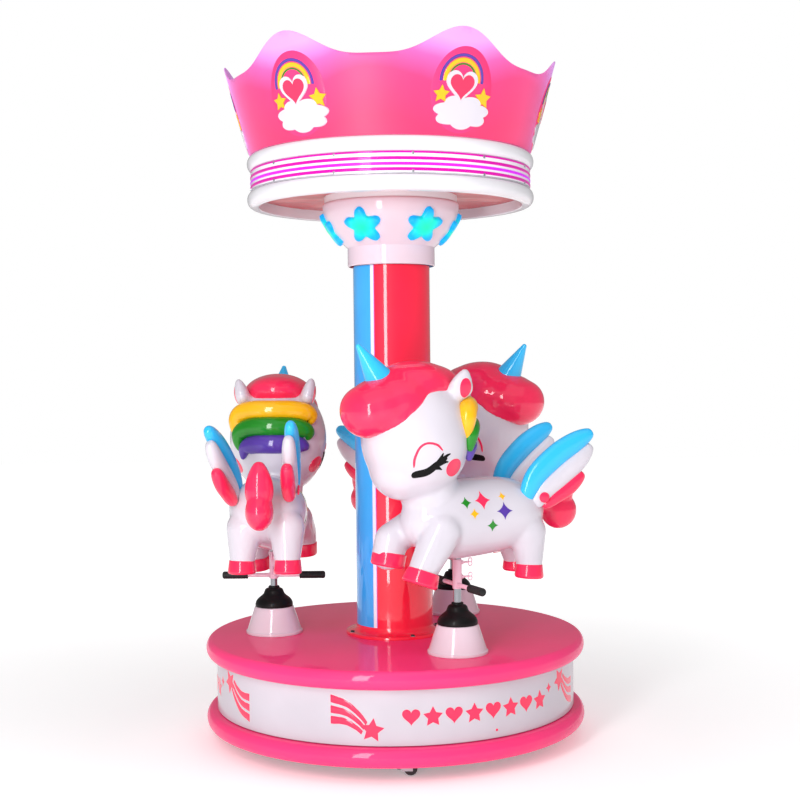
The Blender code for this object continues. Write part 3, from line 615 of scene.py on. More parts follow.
def build_base():
    ring_low, ring_high = RING_Z
    wall = 0.005
    shell = nose(RIM_R, ring_low, ring_high, EDGE_NOSE)
    inner = nose(RIM_R - wall, ring_low + wall, ring_high - wall, EDGE_NOSE, 8)[::-1]
    ends = [(RING_INNER_R, ring_low), (RING_INNER_R, ring_low + wall)]
    profile = [(RING_INNER_R, ring_high), *shell, *ends, *inner, (RING_INNER_R, ring_high - wall)]
    show("base_ring_shell", lathe(profile), "base_pink", ["lower_ring"], body="base")
    low, high = SKIRT_Z
    inside = SKIRT_R - wall
    skirt = [(SKIRT_R, high, 0), (SKIRT_R, low, 0.002), (inside, low, 0.002), (inside, high, 0)]
    show("skirt_panel", lathe(filleted(skirt)), "skirt_white", ["skirt"])
    edge = nose(RIM_R, RIM_BOTTOM_Z, DECK_Z, EDGE_NOSE, 18)
    lip, under, hub = RIM_R - 0.044, DECK_Z - 0.008, 0.1
    deck = lathe([(hub, DECK_Z), *edge, (lip, RIM_BOTTOM_Z), (lip, under), (hub, under)])
    for bearing, _ in STATIONS.values():
        centre = bearing_point(bearing, STATION_R)
        deck = without(deck, cylinder(0.03, centre, centre + Vector((0, 0, 1)), 40))
    show("deck_shell", deck, "base_pink", ["deck"])


def build_column():
    base, inside, steps = DECK_Z + GAP, COLUMN_R - WALL, 12
    flare = []
    for step in range(steps + 1):
        turn = pi / 2 * step / steps
        out, up = 1 - cos(turn), 1 - sin(turn)
        flare.append((COLUMN_R + FLARE * out, DECK_Z + 0.0105 + FLARE * up))
    lip = [(COLUMN_FLANGE_R - 0.003, DECK_Z + 0.01), (COLUMN_FLANGE_R - 0.001, DECK_Z + 0.0085)]
    lip += [(COLUMN_FLANGE_R, DECK_Z + 0.006), (COLUMN_FLANGE_R, base), (inside, base)]
    profile = [(COLUMN_R, COLUMN_TOP), *flare, *lip, (inside, COLUMN_TOP)]
    show("column_skin", lathe(profile), "column_red_pink", ["column_shell"])
    rim = [(0.003, 0.0014), (0.0088, 0.0014), (0.0095, 0.0008), (0.0095, -0.001), (0.003, -0.001)]
    washer = lathe(rim, 32)
    head = [(0, 0.0062), (0.0045, 0.006), (0.0062, 0.0046), (0.0068, 0.0014), (0, 0.0014)]
    bolt = lathe(head, 24, closed=False)
    for index in range(4):
        spot = bearing_frame(BOLT_FIRST_DEG + 90 * index, BOLT_CIRCLE_R, DECK_Z + 0.0098)
        show(f"column_washer_{index + 1}", washer, "zinc", place=spot)
        show(f"column_bolt_{index + 1}", bolt, "tread_rubber", place=spot)


def bowl_radius(z):
    """The bowl's outer radius at a height above the deck."""
    low, high = BOWL_Z
    share = min(max((z - low) / (high - low), 0.0), 1.0)
    return COLLAR_R + (LIP_R - COLLAR_R) * sin(share * pi / 2) ** 0.9


def puffy_star(radius, crown, edge):
    """A pillowy star with five round lobes, facing +Y: its middle stands out by crown, its rim by edge."""
    bm = bmesh.new()
    rings, steps, back = 9, 80, -0.01
    layers = [[bm.verts.new((0, crown, 0))]]
    for ring in range(1, rings + 1):
        share = ring / rings
        rise = edge + (crown - edge) * sqrt(max(1 - share**2.6, 0.0))
        row = []
        for turn in turns(steps):
            reach = radius * (0.8 + 0.2 * cos(5 * turn)) * share
            row.append(bm.verts.new((reach * sin(turn), rise, reach * cos(turn))))
        layers.append(row)
    layers.append([bm.verts.new((vert.co.x, back, vert.co.z)) for vert in layers[-1]])
    layers.append([bm.verts.new((0, back, 0))])
    return stitch(bm, layers, steps)


def star_frames():
    rise = 0.02
    tilt = -atan2(bowl_radius(STAR_Z + rise) - bowl_radius(STAR_Z - rise), 2 * rise)
    for index in range(6):
        spot = bearing_frame(STAR_FIRST_DEG + index * 60, bowl_radius(STAR_Z), DECK_Z + STAR_Z)
        yield spot @ Matrix.Rotation(tilt, 4, "X")


def build_capital():
    low, high = BOWL_Z
    heights = [high - (high - low) * step / 24 for step in range(25)]
    outer = [(bowl_radius(z), DECK_Z + z) for z in heights]
    lip = [(0.013, 0.001), (0.008, 0), (0.003, 0.002), (0.0005, 0.006)]
    lip = [(LIP_R - inwards, CAPITAL_TOP - down) for inwards, down in lip]
    foot = COLUMN_TOP + GAP
    collar = [(COLLAR_R, foot + 0.003), (COLLAR_R - 0.003, foot), (COLLAR_R - WALL, foot)]
    inner = [(radius - WALL, z) for radius, z in reversed(outer[::2])]
    bowl = lathe([*lip, *outer, *collar, *inner])
    stars = list(star_frames())
    for spot in stars:
        bowl = without(bowl, moved(puffy_star(STAR_R + 0.0012, 0.05, 0.05), spot))
    show("capital_bowl", bowl, "blush", ["capital"])
    lens = puffy_star(STAR_R, 0.0125, 0.003)
    for index, spot in enumerate(stars, 1):
        stands_for = ["star_lens"] if index == 1 else ()
        show(f"star_light_{index}", lens, "star_glow", stands_for, spot, sharp=60)


def build_canopy():
    low, high = CANOPY_LOW
    inside = CANOPY_R - 0.04
    plate_low, plate_high = (DECK_Z + z for z in PLATE_Z)
    edge = nose(CANOPY_R, low, high, CANOPY_NOSE)
    profile = [(inside, high), *edge, (inside + 0.003, low), (inside, low + 0.003), (inside, plate_low)]
    show("canopy_lower_ring", lathe(profile), "canopy_white", ["canopy_base"])

    def ribbed(bearing, radius, z):
        """Shallow radial ribs, moulded into the underside."""
        if z > plate_high - 0.001 or radius < 0.25 or radius > inside - 0.012:
            return radius, z
        return radius, z - 0.004 * max(cos(radians(12 * (bearing + 11))), 0.0) ** 3

    rim, hub, steps = inside - 0.0002, 0.24, 12
    under = [(rim - (inside - hub) * k / steps, plate_low) for k in range(steps + 1)]
    sheet = [(MAST_HOLE_R, plate_high), (rim, plate_high), *under, (MAST_HOLE_R, plate_low)]
    show("canopy_underside", lathe(sheet, shape=ribbed), "canopy_under")
    top, foot = plate_low + 0.0005, CAPITAL_TOP - 0.001
    collar = [(0.229, top, 0), (0.229, foot, 0.0005), (0.224, foot, 0.0005), (0.224, top, 0)]
    # The collar takes the whiter canopy finish instead of its own pale pink: painted light, lighter to make up
    # for the shade it sits in under the canopy
    show("canopy_collar", lathe(filleted(collar)), "canopy_white")
    low, high = CANOPY_HIGH
    edge = nose(CANOPY_R, low, high, CANOPY_NOSE)
    profile = [(0, high), *edge, (inside, low), (inside, high - 0.007), (0, high - 0.007)]
    show("canopy_upper_ring", lathe(profile, closed=False), "canopy_white", ["canopy_ring"])


# Lines of the light band: share of its height, half width, finish and how far they stand out
LIGHT_LINES = [
    (0.955, 0.0034, "led_magenta", 0.0014),
    (0.68, 0.0054, "led_magenta", 0.002),
    (0.43, 0.0052, "led_violet", 0.002),
    (0.19, 0.0054, "led_magenta", 0.002),
    (0.03, 0.001, "zinc", 0.0006),
]


def build_light_band():
    low, high = BAND_Z
    back = BAND_R - 0.0045
    panel = lathe([(BAND_R, high), (BAND_R, low), (back, low), (back, high)])
    show("light_band_panel", panel, "band_white", ["light_band"])
    for index, (share, half, slot, proud) in enumerate(LIGHT_LINES, 1):
        z = low + (high - low) * share
        outline = [(BAND_R + proud, z + half, half * 0.6), (BAND_R + proud, z - half, half * 0.6)]
        outline += [(BAND_R - 0.001, z - half, 0), (BAND_R - 0.001, z + half, 0)]
        show(f"light_line_{index}", lathe(filleted(outline)), slot)
    clip = baked(block((0.007, 0.0035, 0.009)), ("BEVEL", {"width": 0.001, "segments": 2}))
    for index in range(12):
        for tag, share in (("upper", 0.9), ("lower", 0.1)):
            spot = bearing_frame(-20 + 30 * index, BAND_R + 0.0012, low + (high - low) * share)
            show(f"light_clip_{tag}_{index + 1}", clip, "zinc", place=spot)


def block(size):
    bm = bmesh.new()
    bmesh.ops.create_cube(bm, size=1.0, matrix=Matrix.Diagonal((*size, 1)))
    return mesh_of(bm)


def crown_height(bearing):
    _, valley, peak = CROWN_Z
    wave = (1 + cos(radians(PEAKS * (bearing - CROWN_FIRST_DEG)))) / 2
    sag = CROWN_SAG * max(sin(radians(bearing)), 0.0) ** 1.5
    return valley + (peak - valley) * wave**1.8 - sag


def crown_radius(z):
    return CROWN_BASE_R + (CROWN_TOP_R - CROWN_BASE_R) * (z - CROWN_Z[0]) / (CROWN_Z[2] - CROWN_Z[0])


def build_crown():
    """The wall as (depth through the wall, share of the height) rows, its rim slightly rounded."""
    rows, lip = 14, 0.0018

    def shape(bearing, depth, share):
        z = CROWN_Z[0] + (crown_height(bearing) - CROWN_Z[0]) * share
        if share == 1 and depth in (1, 2):
            z -= lip
        return crown_radius(z) - (depth - 1) * CROWN_WALL, DECK_Z + z

    outside = [(1, k / rows) for k in range(rows, -1, -1)]
    inside = [(2, k / rows) for k in range(rows + 1)]
    wall = lathe([*outside, *inside, (1.5, 1)], 2 * SEGMENTS, shape=shape)
    show("crown_wall", wall, "crown_pink", ["crown"], sharp=60)


def crown_land(bearing):
    """Where a badge's (x, y) lands on the crown's outer face, x to the viewer's right and y up the wall."""
    middle = CROWN_Z[0] + 0.136

    def land(x, y, lift):
        z = middle + y
        radius = crown_radius(z) + lift
        return bearing_point(bearing + degrees(x / radius), radius, DECK_Z + z)

    return land


def arch(land, middle, inner, outer, lift):
    """A half ring that stands on the badge as a band of a rainbow."""
    edges = []
    for step in range(33):
        turn = radians(-96 + 6 * step)
        out = np.array((sin(turn), cos(turn)))
        edges.append((middle + inner * out, middle + outer * out))
    return ribbon(land, edges, lift, 0.0008)


# The emblem: bands of the rainbow, then middles and sizes
RAINBOW = [(0.066, 0.078, "lock_purple"), (0.049, 0.066, "lock_yellow"), (0.043, 0.049, "lock_green")]
RAINBOW_MIDDLE, CLOUD_MIDDLE, HEART_MIDDLE = (-0.006, 0.03), (0.006, -0.066), (-0.006, 0.006)
EMBLEM_STARS = (("left", (-0.072, -0.016), 0.028), ("right", (0.076, -0.02), 0.032))
HEARTS = ((0.056, "unicorn_white", 0.0052), (0.043, "hair_pink", 0.006))


def build_emblems():
    """A generic rainbow over a cloud, with a heart and two stars, in a low oval frame on each peak."""
    for index in range(PEAKS):
        land = crown_land(CROWN_FIRST_DEG + 1.3 + 60 * index)

        def place(tag, mesh, slot, index=index):
            show(f"emblem_{index + 1}_{tag}", mesh, slot)

        place("oval", patch(oval_outline(0.108, 0.13, 72), land, BADGE_LIFT), "emblem_pink")
        for inner, outer, slot in RAINBOW:
            place(f"arch_{round(outer * 1000)}", arch(land, RAINBOW_MIDDLE, inner, outer, 0.003), slot)
        for tag, centre, size in EMBLEM_STARS:
            outline = subdivided(star_outline(size, 5, 0.5), 0.006)
            place(f"star_{tag}", patch(outline, land, 0.004, 4, centre), "lock_yellow")
        place("cloud", patch(cloud_outline(0.102, 0.052), land, 0.0046, centre=CLOUD_MIDDLE), "unicorn_white")
        for size, slot, lift in HEARTS:
            outline = subdivided(heart_outline(size), 0.006)
            place(f"heart_{slot}", patch(outline, land, lift, 6, HEART_MIDDLE), slot)


def skirt_land(bearing, z_middle):
    def land(x, y, lift):
        return bearing_point(bearing + degrees(x / SKIRT_R), SKIRT_R + lift, z_middle + y)

    return land


COMET_TOP = [(-0.13, 0.107), (-0.075, 0.089), (-0.034, 0.053), (-0.014, 0.026)]
COMET_FOOT = [(-0.13, 0.013), (-0.087, 0.013), (-0.054, 0.000), (-0.034, -0.014)]
COMET_BANDS = ((0.0, 0.3), (0.355, 0.645), (0.7, 1.0))
# Degrees along the skirt: where the three groups start, then places in a group
GROUP_STARTS = (-5.3, 114.2, 233.2)
BADGES_AT, BADGE_STEP, SCREW_AT, SPARKLE_AT, TURNED_COMET_AT = 11.1, 6.26, 37.3, 59.8, 66.8


def comet(land):
    """A star with three bands that widen and curve away to the left and up."""
    shapes = [patch(subdivided(star_outline(0.039, 5, 0.5, 0.12), 0.008), land, PAINT_LIFT, 4)]
    for first, last in COMET_BANDS:
        edges = []
        for step in range(17):
            top, foot = spline(COMET_TOP, step / 16), spline(COMET_FOOT, step / 16)
            edges.append((top + (foot - top) * first, top + (foot - top) * last))
        shapes.append(ribbon(land, edges, PAINT_LIFT, 0.0006))
    return joined(*shapes)


def build_skirt_graphics():
    """Three groups round the skirt: a comet, a row of badges, a sparkle and a second comet, upside down."""
    middle = (SKIRT_Z[0] + SKIRT_Z[1]) / 2
    head = [(0, 0.0022), (0.0022, 0.002), (0.0038, 0.001), (0.0042, -0.0006), (0, -0.0006)]
    screw = lathe(head, 24, False)
    for index, start in enumerate(GROUP_STARTS, 1):
        show(f"skirt_comet_{index}_right_way", comet(skirt_land(start, middle - 0.038)), "hair_pink")
        over = skirt_land(start + TURNED_COMET_AT, middle + 0.043)
        turned = comet(lambda x, y, lift, over=over: over(-x, -y, lift))
        show(f"skirt_comet_{index}_turned", turned, "hair_pink")
        spark = patch(sparkle_outline(0.016), skirt_land(start + SPARKLE_AT, middle + 0.03), PAINT_LIFT)
        show(f"skirt_sparkle_{index}", spark, "hair_pink")
        for step in range(8):
            outline = star_outline(0.033, 5, 0.52) if step % 2 else heart_outline(0.0285)
            land = skirt_land(start + BADGES_AT + BADGE_STEP * step, middle)
            badge = patch(subdivided(outline, 0.006), land, PAINT_LIFT, 4)
            show(f"skirt_badge_{index}_{step + 1}", badge, "hair_pink")
        spot = bearing_frame(start + SCREW_AT, SKIRT_R, middle - 0.062) @ spun(-90, "X")
        show(f"skirt_screw_{index}", screw, "hair_pink", place=spot)


# Seats


def pod_mesh():
    top = POD_TOP
    outer = [(0.026, top, 0), (0.067, top, 0.005), (0.0935, 0.012, 0.004), (0.0975, 0.009, 0.002)]
    inner = [(0.0975, GAP, 0.001), (0.089, GAP, 0), (0.061, top - WALL, 0.004), (0.026, top - WALL, 0)]
    return lathe(filleted([*outer, *inner]), 96)


# The gaiter's outer radii at shares of its height
GAITER = [
    (0.015, 1.0), (0.0185, 0.995), (0.0195, 0.95), (0.02, 0.9), (0.027, 0.87), (0.0315, 0.8), (0.034, 0.7),
    (0.0375, 0.6), (0.045, 0.5), (0.053, 0.41), (0.059, 0.32), (0.063, 0.22), (0.065, 0.12), (0.065, 0.04),
]


def gaiter_mesh():
    """A black bell with a small upper bell and a wide lower one."""
    low = POD_TOP + GAP
    height = BOOT_TOP - low
    outer = []
    for step in range(61):
        r, z = spline(GAITER, step / 60)
        outer.append((min(r, 0.065), low + height * min(z, 1.0)))
    inner = [(r - 0.0028, z - 0.003) for r, z in outer[::-6] if r > 0.03]
    inner = [(0.06, low), *inner, (0.0135, outer[0][1] - 0.014), (0.013, outer[0][1])]
    return lathe([*outer, (0.064, low), *inner], 72)


def grip_mesh():
    """A ribbed rubber grip along +Y with a domed end."""
    start, tip, bore = GRIP_TIP - GRIP_LENGTH, GRIP_TIP, BAR_R + 0.0006
    outer = [(0, tip), (0.006, tip - 0.0004), (0.0105, tip - 0.002), (0.0128, tip - 0.006)]
    for rib in range(GRIP_RIBS):
        at = tip - 0.008 - (0.074 / GRIP_RIBS) * rib
        outer += [(0.013, at), (0.013, at - 0.0034), (0.012, at - 0.0042), (0.012, at - 0.0052)]
    outer += [(0.013, start + 0.004), (0.013, start + 0.001), (0.012, start), (bore, start)]
    profile = [*outer, (bore, tip - 0.004), (0, tip - 0.004)]
    along = put((0, 0, BAR_Z)) @ spun(-90, "X")
    return moved(lathe(profile, 40, closed=False), along)


def bar_mesh():
    """The clamp sleeve round the shaft and the cross bar welded through it."""
    low, bore = BAR_Z - 0.012, SHAFT_R + 0.0004
    corners = [(SLEEVE_R, SLEEVE_TOP, 0.001), (SLEEVE_R, low, 0.001), (bore, low, 0), (bore, SLEEVE_TOP, 0)]
    pieces = [lathe(filleted(corners), 48)]
    weld = [(-0.001, 0.005), (0.0022, 0.0012), (0.0028, -0.0016), (-0.001, -0.0016)]
    weld = [(BAR_R + out, up) for out, up in weld]
    for side in (-1, 1):
        start, end = (0, side * (SHAFT_R + 0.001), BAR_Z), (0, side * (BAR_HALF - 0.001), BAR_Z)
        pieces.append(cylinder(BAR_R, start, end, 32))
        turn = spun(-90 * side, "X")
        pieces.append(moved(lathe(weld, 32), put((0, side * SLEEVE_R, BAR_Z)) @ turn))
    return joined(*pieces)


def wing_bolt_mesh(z):
    """A bolt whose head is two wire loops, standing out behind the sleeve."""
    shank = cylinder(0.0032, (-0.013, 0, z), (-0.041, 0, z), 20)
    nut = cylinder(0.0066, (-0.0148, 0, z), (-0.0215, 0, z), 6)
    loops = []
    for side in (-1, 1):
        points = []
        for step in range(13):
            turn = 2 * pi * step / 12
            reach = 0.0066 + 0.0016 * cos(turn)
            back, up = reach * sin(turn) * 0.95, 0.0074 - reach * cos(turn)
            points.append((-0.0475 - back, 0, z + side * up))
        loops.append(pipe(points, 0.0016, 8, 40))
    return joined(shank, nut, *loops)


def hoof_mesh(centre, tilt, low_r, top_r, height=0.046):
    """A cup with a rounded sole and a thin ledge at its top."""
    half = height / 2
    corners = [(0, half, 0), (top_r, half, 0.003), (low_r, 0.2 * half - half, 0.01)]
    outline = filleted([*corners, (low_r - 0.006, -half, 0.006), (0, -half, 0)], 6)
    lean = put(centre) @ spun(tilt, "Y")
    return moved(lathe(outline, 56, closed=False), lean)


HOOVES = {
    "near_hind": ((-0.2245, 0.079, 0.2515), -4, 0.048, 0.042),
    "far_hind": ((-0.28, -0.079, 0.252), -2, 0.047, 0.042),
    "near_fore": ((0.177, 0.08, 0.26), -21, 0.058, 0.051),
    "far_fore": ((0.206, -0.08, 0.302), -12, 0.055, 0.055),
}


# In millimetres: rows of x, y, z, half height and half thickness, balls' middles and radii, and limbs
TRUNK = [
    (192, 0, 440, 110, 112), (70, 0, 427, 130, 121), (-70, 0, 430, 126, 120), (-200, 0, 438, 120, 138),
    (-308, 0, 442, 112, 128),
]
HEAD = [((98, 0, 515), (98, 94, 90)), ((149, 0, 697), (172, 174, 202)),
        ((202, 0, 606), (96, 121, 110))]
EAR = [(55, 104, 810, 36, 28), (50, 118, 850, 42, 27), (40, 132, 908, 20, 17)]
LEGS = [((-224, 72, 378), (-226, 78, 270), 60, 42),
        ((-250, -72, 378), (-278, -78, 270), 62, 42),
        ((95, 70, 400), (170, 80, 285), 63, 47),
        ((110, -70, 410), (195, -80, 365), 57, 53),
        ((195, -80, 365), (206, -80, 320), 53, 53)]
# Balls of the forelock behind its curl: middle, radii and dip
FORELOCK = [((0.088, 0, 0.874), (0.085, 0.098, 0.047), -12), ((0.15, 0, 0.854), (0.13, 0.128, 0.08), -2),
            ((0.225, 0, 0.812), (0.115, 0.14, 0.092), 24), ((0.28, 0, 0.79), (0.1, 0.124, 0.09), 24),
            ((0.32, 0, 0.776), (0.078, 0.106, 0.084), 20)]


def shell_shapes():
    """The closed shapes that melt into the white shell: trunk, neck, skull, muzzle, ears and legs."""
    shapes = [sausage(mm(TRUNK), roundness=2.5, steps=48, sides=48), *(ellipsoid(*mm(ball)) for ball in HEAD)]
    for side in (-1, 1):
        ear = [(x, side * y, z, half, thickness) for x, y, z, half, thickness in mm(EAR)]
        shapes.append(sausage(ear, roundness=2.4))
    for bone in LEGS:
        shapes += limb(*mm(bone))
    return shapes


def hair_mesh():
    """The forelock: a cap over the crown of the head that sweeps down to a plump curl in front."""
    line = [(0.06, 0.88), (0.083, 0.866), (0.127, 0.85), (0.181, 0.825), (0.218, 0.787), (0.254, 0.748)]
    line += [(0.291, 0.718), (0.327, 0.697), (0.45, 0.66), (0.45, 1.0), (0.06, 1.0)]
    bm = bmesh.new()
    near = [bm.verts.new((x, -0.3, z)) for x, z in line]
    far = [bm.verts.new((x, 0.3, z)) for x, z in line]
    bm.faces.new(near)
    bm.faces.new(far[::-1])
    for index in range(len(line)):
        after = (index + 1) % len(line)
        bm.faces.new((near[index], near[after], far[after], far[index]))
    wedge = mesh_of(bm)
    cap = ellipsoid((0.149, 0, 0.697), (0.179, 0.181, 0.21))
    cap = baked(cap, ("BOOLEAN", {"operation": "INTERSECT", "object": wedge}))
    return melted([cap, *(ellipsoid(*ball) for ball in FORELOCK)], 0.008, 16)


def horn_mesh():
    start, tip, round_r, steps = Vector((0.265, 0, 0.862)), Vector((0.3505, 0, 0.984)), 0.0085, 8
    length = (tip - start).length
    profile = [(0, length)]
    for step in range(1, steps + 1):
        turn = pi / 2 * step / steps
        profile.append((round_r * sin(turn), length - round_r * (1 - cos(turn))))
    for step in range(1, steps + 1):
        profile.append((round_r + 0.043 * step / steps, (length - round_r) * (1 - step / steps)))
    profile.append((0, 0))
    return moved(lathe(profile, 48, closed=False), facing(start, tip - start))


# In millimetres, as the trunk's rows
LOCKS = {
    "lock_yellow": [
        (40, -124, 738, 14, 16), (36, -124, 770, 32, 30), (14, -86, 787, 34, 32), (0, 0, 789, 34, 32),
        (10, 86, 788, 34, 32), (34, 126, 772, 33, 31), (40, 134, 735, 29, 28), (36, 130, 684, 12, 13),
    ],
    "lock_green": [
        (28, -118, 684, 14, 16), (22, -116, 712, 30, 28), (0, -78, 728, 33, 30), (-16, 0, 730, 34, 30),
        (-4, 78, 729, 33, 30), (18, 118, 712, 30, 29), (24, 126, 682, 23, 23), (22, 122, 648, 11, 12),
    ],
    "lock_purple": [
        (20, -104, 644, 14, 16), (16, -100, 660, 28, 27), (-2, -66, 669, 33, 29), (-12, 0, 670, 35, 30),
        (-2, 66, 669, 33, 29), (14, 100, 655, 27, 27), (20, 112, 618, 11, 13),
    ],
}


def feather(rows):
    return sausage([(x, 0, z, half, 0.024) for x, z, half in mm(rows)], (0, 1, 0), 3.4)


# Finish, then rows of x, z and half height in millimetres
FEATHERS = {
    "blue": ("wing_blue", [
        (-190, 478, 32), (-226, 558, 36), (-293, 623, 37), (-355, 664, 35), (-417, 698, 28),
    ]),
    "white": ("unicorn_white", [
        (-222, 462, 32), (-262, 512, 34), (-320, 562, 36), (-374, 608, 34), (-415, 656, 28),
    ]),
    "pink": ("hair_pink", [
        (-255, 458, 22), (-300, 492, 26), (-344, 521, 28), (-392, 566, 26),
    ]),
}
FEATHER_SHIFT = {"blue": 0.004, "white": 0.0, "pink": -0.004}
WING_HINGE = Vector((-0.19, 0, 0.455))
# The outer wing (1) and the inner one (-1): where its root moves to, its lean and its splay in degrees
WINGS = {1: ((-0.009, 0.088, 0.0), 4.0, 15.0), -1: ((-0.024, -0.088, 0.012), 2.6, 0.0)}


def wing_frame(side, shift=0.0):
    """The wing's plane, splayed and leaning out from its hinge line at the root."""
    offset, lean, splay = WINGS[side]
    turn = spun(-side * splay, "Z") @ spun(-side * lean, "X")
    out = put(Vector(offset) + Vector((0, side * shift, 0)) + WING_HINGE)
    return out @ turn @ put(-WING_HINGE)


def tail_mesh():
    lobe = [(-0.392, 0, 0.44, 0.05, 0.045), (-0.404, 0, 0.51, 0.046, 0.046), (-0.416, 0, 0.592, 0.03, 0.028)]
    root = [(-0.29, 0, 0.47, 0.034, 0.03), (-0.39, 0, 0.452, 0.036, 0.034)]
    ball = ellipsoid((-0.398, 0, 0.43), (0.066, 0.046, 0.061))
    return melted([ball, sausage(lobe), sausage(root)], 0.006, 5)


class Skin:
    """Lands badges and strokes on a seat's white shell, seen square from one side."""

    def __init__(self, mesh):
        bm = bmesh.new()
        bm.from_mesh(mesh)
        self.tree = BVHTree.FromBMesh(bm)
        bm.free()

    def lander(self, side):
        def land(x, z, lift):
            hit, normal, _, _ = self.tree.ray_cast(Vector((x, side * 0.5, z)), Vector((0, -side, 0)))
            if hit is None:
                hit, normal, _, _ = self.tree.find_nearest(Vector((x, side * 0.1, z)))
            return hit + normal * lift

        return land


def stroke(rows, land, steps=40):
    """A painted line through (x, z, half width) rows, with round ends."""
    edges = []
    for share, (x, z, half), ahead in swept(mm(rows), steps):
        across = np.array((-ahead[1], ahead[0])) / hypot(ahead[0], ahead[1])
        across *= half * max(1 - abs(2 * share - 1) ** 14, 0.0) ** 0.5
        edges.append(((x, z) - across, (x, z) + across))
    return ribbon(land, edges, 0.0011, 0.0006, 6, BADGE_SUNK)


SPARKLES = [
    ("lock_green", 0.0274, 0.486, 0.0185), ("hair_pink", -0.0329, 0.491, 0.0285),
    ("lock_yellow", -0.1058, 0.5, 0.013), ("lock_purple", -0.1047, 0.455, 0.028),
    ("lock_yellow", 0.0038, 0.4515, 0.017), ("lock_green", -0.0612, 0.4116, 0.02),
]

# Strokes: rows of x, z and half width in millimetres
EYE = [
    (229.5, 582, 10.5), (216, 585.5, 13.5), (188, 593, 14.5), (165.5, 612, 13.5), (148, 624, 11),
    (130, 634, 6),
]
LASHES = [
    [(162, 618, 9), (151, 638, 5.5), (146, 650, 1.5)],
    [(152, 626, 9), (132, 641, 5.5), (119, 647, 1.5)],
    [(154, 616, 9), (137, 621, 5.5), (123, 622, 1.5)],
    [(166, 606, 9), (153, 603, 5.5), (142, 598, 1.5)],
]
BROW = [
    (229, 607, 3.4), (231.2, 633.5, 3.8), (223.6, 662.4, 3.8), (210.5, 677, 3.8), (193, 681.5, 3.8),
    (167.7, 675.2, 3.8), (149.1, 657.8, 3.4),
]
# Their middle, then half width and half height
CHEEK, INNER_EAR = ((0.0925, 0.602), (0.033, 0.0285)), ((0.048, 0.8465), (0.0205, 0.0305))


def build_faces(skin):
    """The painted details of both sides of the shell, as (name, slot, mesh)."""
    made = []
    for side, tag in SIDES:
        land = skin.lander(side)
        cheek, ear = (patch(oval_outline(*size), land, BADGE_LIFT, 5, at) for at, size in (CHEEK, INNER_EAR))
        eye = joined(*(stroke(rows, land) for rows in [EYE, *LASHES]))
        made += [(f"cheek_{tag}", "hair_pink", cheek), (f"eye_{tag}", "eye_black", eye)]
        made += [(f"brow_{tag}", "hair_pink", stroke(BROW, land)), (f"inner_ear_{tag}", "hair_pink", ear)]
        for index, (slot, x, z, radius) in enumerate(SPARKLES, 1):
            spark = patch(sparkle_outline(radius), land, 0.001, centre=(x, z))
            made.append((f"sparkle_{tag}_{index}", slot, spark))
    return made


def seat_parts():
    """The pieces of a unicorn, as (name, slot, mesh, the node they stand for)."""
    socket = cylinder(SLEEVE_R + 0.001, (0, 0, 0.1), (0, 0, SLEEVE_TOP + 0.0005), 32)
    shell = without(melted(shell_shapes(), 0.007, 9), socket)
    skin = Skin(shell)
    parts = [("shell", "unicorn_white", shell, "unicorn_{}_body"), ("forelock", "hair_pink", hair_mesh())]
    parts += [("horn", "wing_blue", horn_mesh()), ("tail", "hair_pink", tail_mesh())]
    parts += [(f"hoof_{tag}", "hair_pink", hoof_mesh(*hoof)) for tag, hoof in HOOVES.items()]
    parts += [(f"mane_{slot}", slot, sausage(mm(rows), (1, 0, 0), 4.0, 60)) for slot, rows in LOCKS.items()]
    parts += build_faces(skin)
    for side, tag in SIDES:
        for name, (slot, rows) in FEATHERS.items():
            mesh = moved(feather(rows), wing_frame(side, FEATHER_SHIFT[name]))
            stands_for = ["unicorn_{}_wing_" + tag] if name == "blue" else []
            parts.append((f"wing_{tag}_{name}", slot, mesh, *stands_for))
        button = lathe([(0, 0.007), (0.01, 0.0064), (0.0155, 0.004), (0.0172, 0.0), (0, 0.0)], 40, False)
        face = spun(-90 * side, "X")
        spot = wing_frame(side) @ put((-0.252, side * 0.0225, 0.492)) @ face
        parts.append((f"wing_{tag}_button", "hair_pink", moved(button, spot)))
    return parts


def bar_parts():
    grip = grip_mesh()
    parts = [("foot_bar", "sleeve_blush", bar_mesh(), "foot_bar_{}")]
    for tag, z in (("upper", 0.285), ("lower", 0.2385)):
        parts.append((f"wing_bolt_{tag}", "sleeve_blush", wing_bolt_mesh(z)))
    parts.append(("foot_grip_left", "grip_rubber", grip, "foot_grip_{}_left"))
    turned = moved(grip, spun(180, "Z"))
    return [*parts, ("foot_grip_right", "grip_rubber", turned, "foot_grip_{}_right")]


def build_seats():
    parts, bars, pod, gaiter = seat_parts(), bar_parts(), pod_mesh(), gaiter_mesh()
    belly = Vector((0, 0, BELLY_Z))
    for index, (bearing, lift) in STATIONS.items():
        station = bearing_frame(bearing, STATION_R, DECK_Z)
        show(f"pod_cover_{index}", pod, "blush", [f"pod_{index}"], station)
        show(f"gaiter_boot_{index}", gaiter, "gaiter_rubber", [f"gaiter_{index}"], station)
        turn, dip, bar_turn = SITTING[index]
        seat = station @ put((0, 0, lift))
        tilt = spun(turn, "Z") @ spun(dip, "Y")
        sitting = seat @ put(belly) @ tilt @ put(-belly)
        for pieces, place in ((parts, sitting), (bars, seat @ spun(bar_turn, "Z"))):
            for name, slot, mesh, *nodes in pieces:
                stands_for = [node.format(index) for node in nodes]
                show(f"seat_{index}_{name}", mesh, slot, stands_for, place, f"unicorn_{index}")


def finish_cad_nodes():
    """The steel and rubber parts under the deck keep their CAD shapes, with detailed finishes."""
    slots = {part["node"]: part["material_slot"] for part in frame["record"]["subparts"]}
    for name, node in frame["nodes"].items():
        for entry in node.material_slots:
            entry.material = MATERIALS[slots[name]]


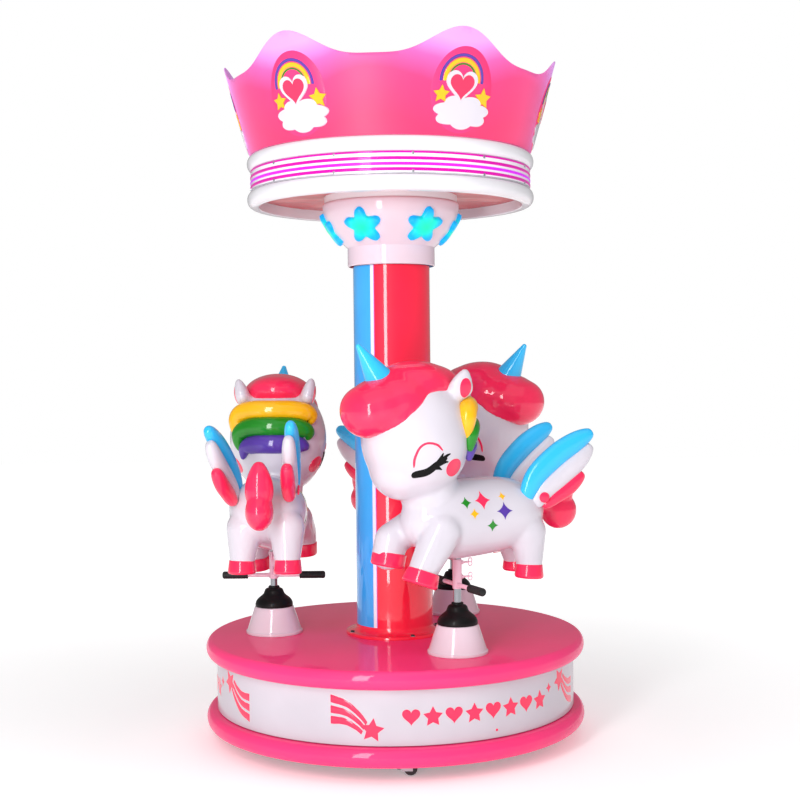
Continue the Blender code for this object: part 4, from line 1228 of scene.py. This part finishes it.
def build_stage():
    bm = bmesh.new()
    bmesh.ops.create_grid(bm, x_segments=8, y_segments=8, size=14.0)
    floor = linked("studio_floor", mesh_of(bm))
    made = bpy.data.materials.new("studio_floor")
    tree = new_tree(made)
    reach = length(tree, add(tree, "TexCoord").outputs["Object"])
    near, far = FLOOR_GLOW
    spans = {"Value": reach, "From Min": 1.0, "From Max": 4.0, "To Min": near, "To Max": far}
    looks = {"Base Color": (0.93, 0.93, 0.935, 1), "Roughness": 0.6, "Specular IOR Level": SOFT_SPECULAR}
    looks |= {"Emission Color": WHITE, "Emission Strength": add(tree, "MapRange", spans).outputs["Result"]}
    wire(tree, tree.nodes["Principled BSDF"], looks)
    floor.data.materials.append(made)
    world = bpy.data.worlds.new("studio")
    tree = new_tree(world)
    rays = add(tree, "LightPath")
    mirrored = calc(tree, "MULTIPLY", rays.outputs["Is Glossy Ray"], AMBIENT - MIRRORED_AMBIENT)
    strength = calc(tree, "MAXIMUM", rays.outputs["Is Camera Ray"], calc(tree, "SUBTRACT", AMBIENT, mirrored))
    wire(tree, tree.nodes["Background"], {"Color": WHITE, "Strength": strength})
    bpy.context.scene.world = world


def softbox(name, spot, target, size, power):
    light = bpy.data.lights.new(name, "AREA")
    light.shape = "RECTANGLE"
    light.size, light.size_y = size
    light.energy = power
    obj = linked(name, light)
    obj.matrix_world = facing(spot, Vector(target) - Vector(spot), "-Z")
    obj.visible_camera = False
    return obj


def build_lights():
    softbox("key_strip", bearing_point(-17, 3.6, 1.75), (0, 0, 1.2), (0.56, 3.2), 84)
    softbox("overhead", (0.4, -1.6, 4.2), (0, 0, 1.0), (4.6, 3.6), 28)
    fills = ("right_fill", 68, (1.6, 2.4), 14), ("back_fill", 180, (2.6, 1.8), 18)
    for name, bearing, size, power in fills:
        fill = softbox(name, bearing_point(bearing, 3.8, 2.2), (0, 0, 1.1), size, power)
        fill.visible_glossy = False


def build_camera():
    """At the photograph's distance, height and angle."""
    distance, height, focal, width, sensor = 4.713, 1.2509, 1361, 800, 36.0
    bearing, yaw, pitch, roll = 1.5, 0.308, 1.246, -0.601
    aim = spun(-yaw, "Z") @ spun(90 - pitch, "X") @ spun(roll, "Z")
    data = bpy.data.cameras.new("camera")
    data.sensor_width = sensor
    data.lens = sensor * focal / width
    camera = linked("camera", data)
    camera.matrix_world = spun(bearing, "Z") @ put((0, -distance, height)) @ aim
    bpy.context.scene.camera = camera
    bpy.context.scene.view_settings.view_transform = "Standard"


finish_cad_nodes()
build_base()
build_column()
build_capital()
build_canopy()
build_light_band()
build_crown()
build_emblems()
build_skirt_graphics()
build_seats()
build_stage()
build_lights()
build_camera()
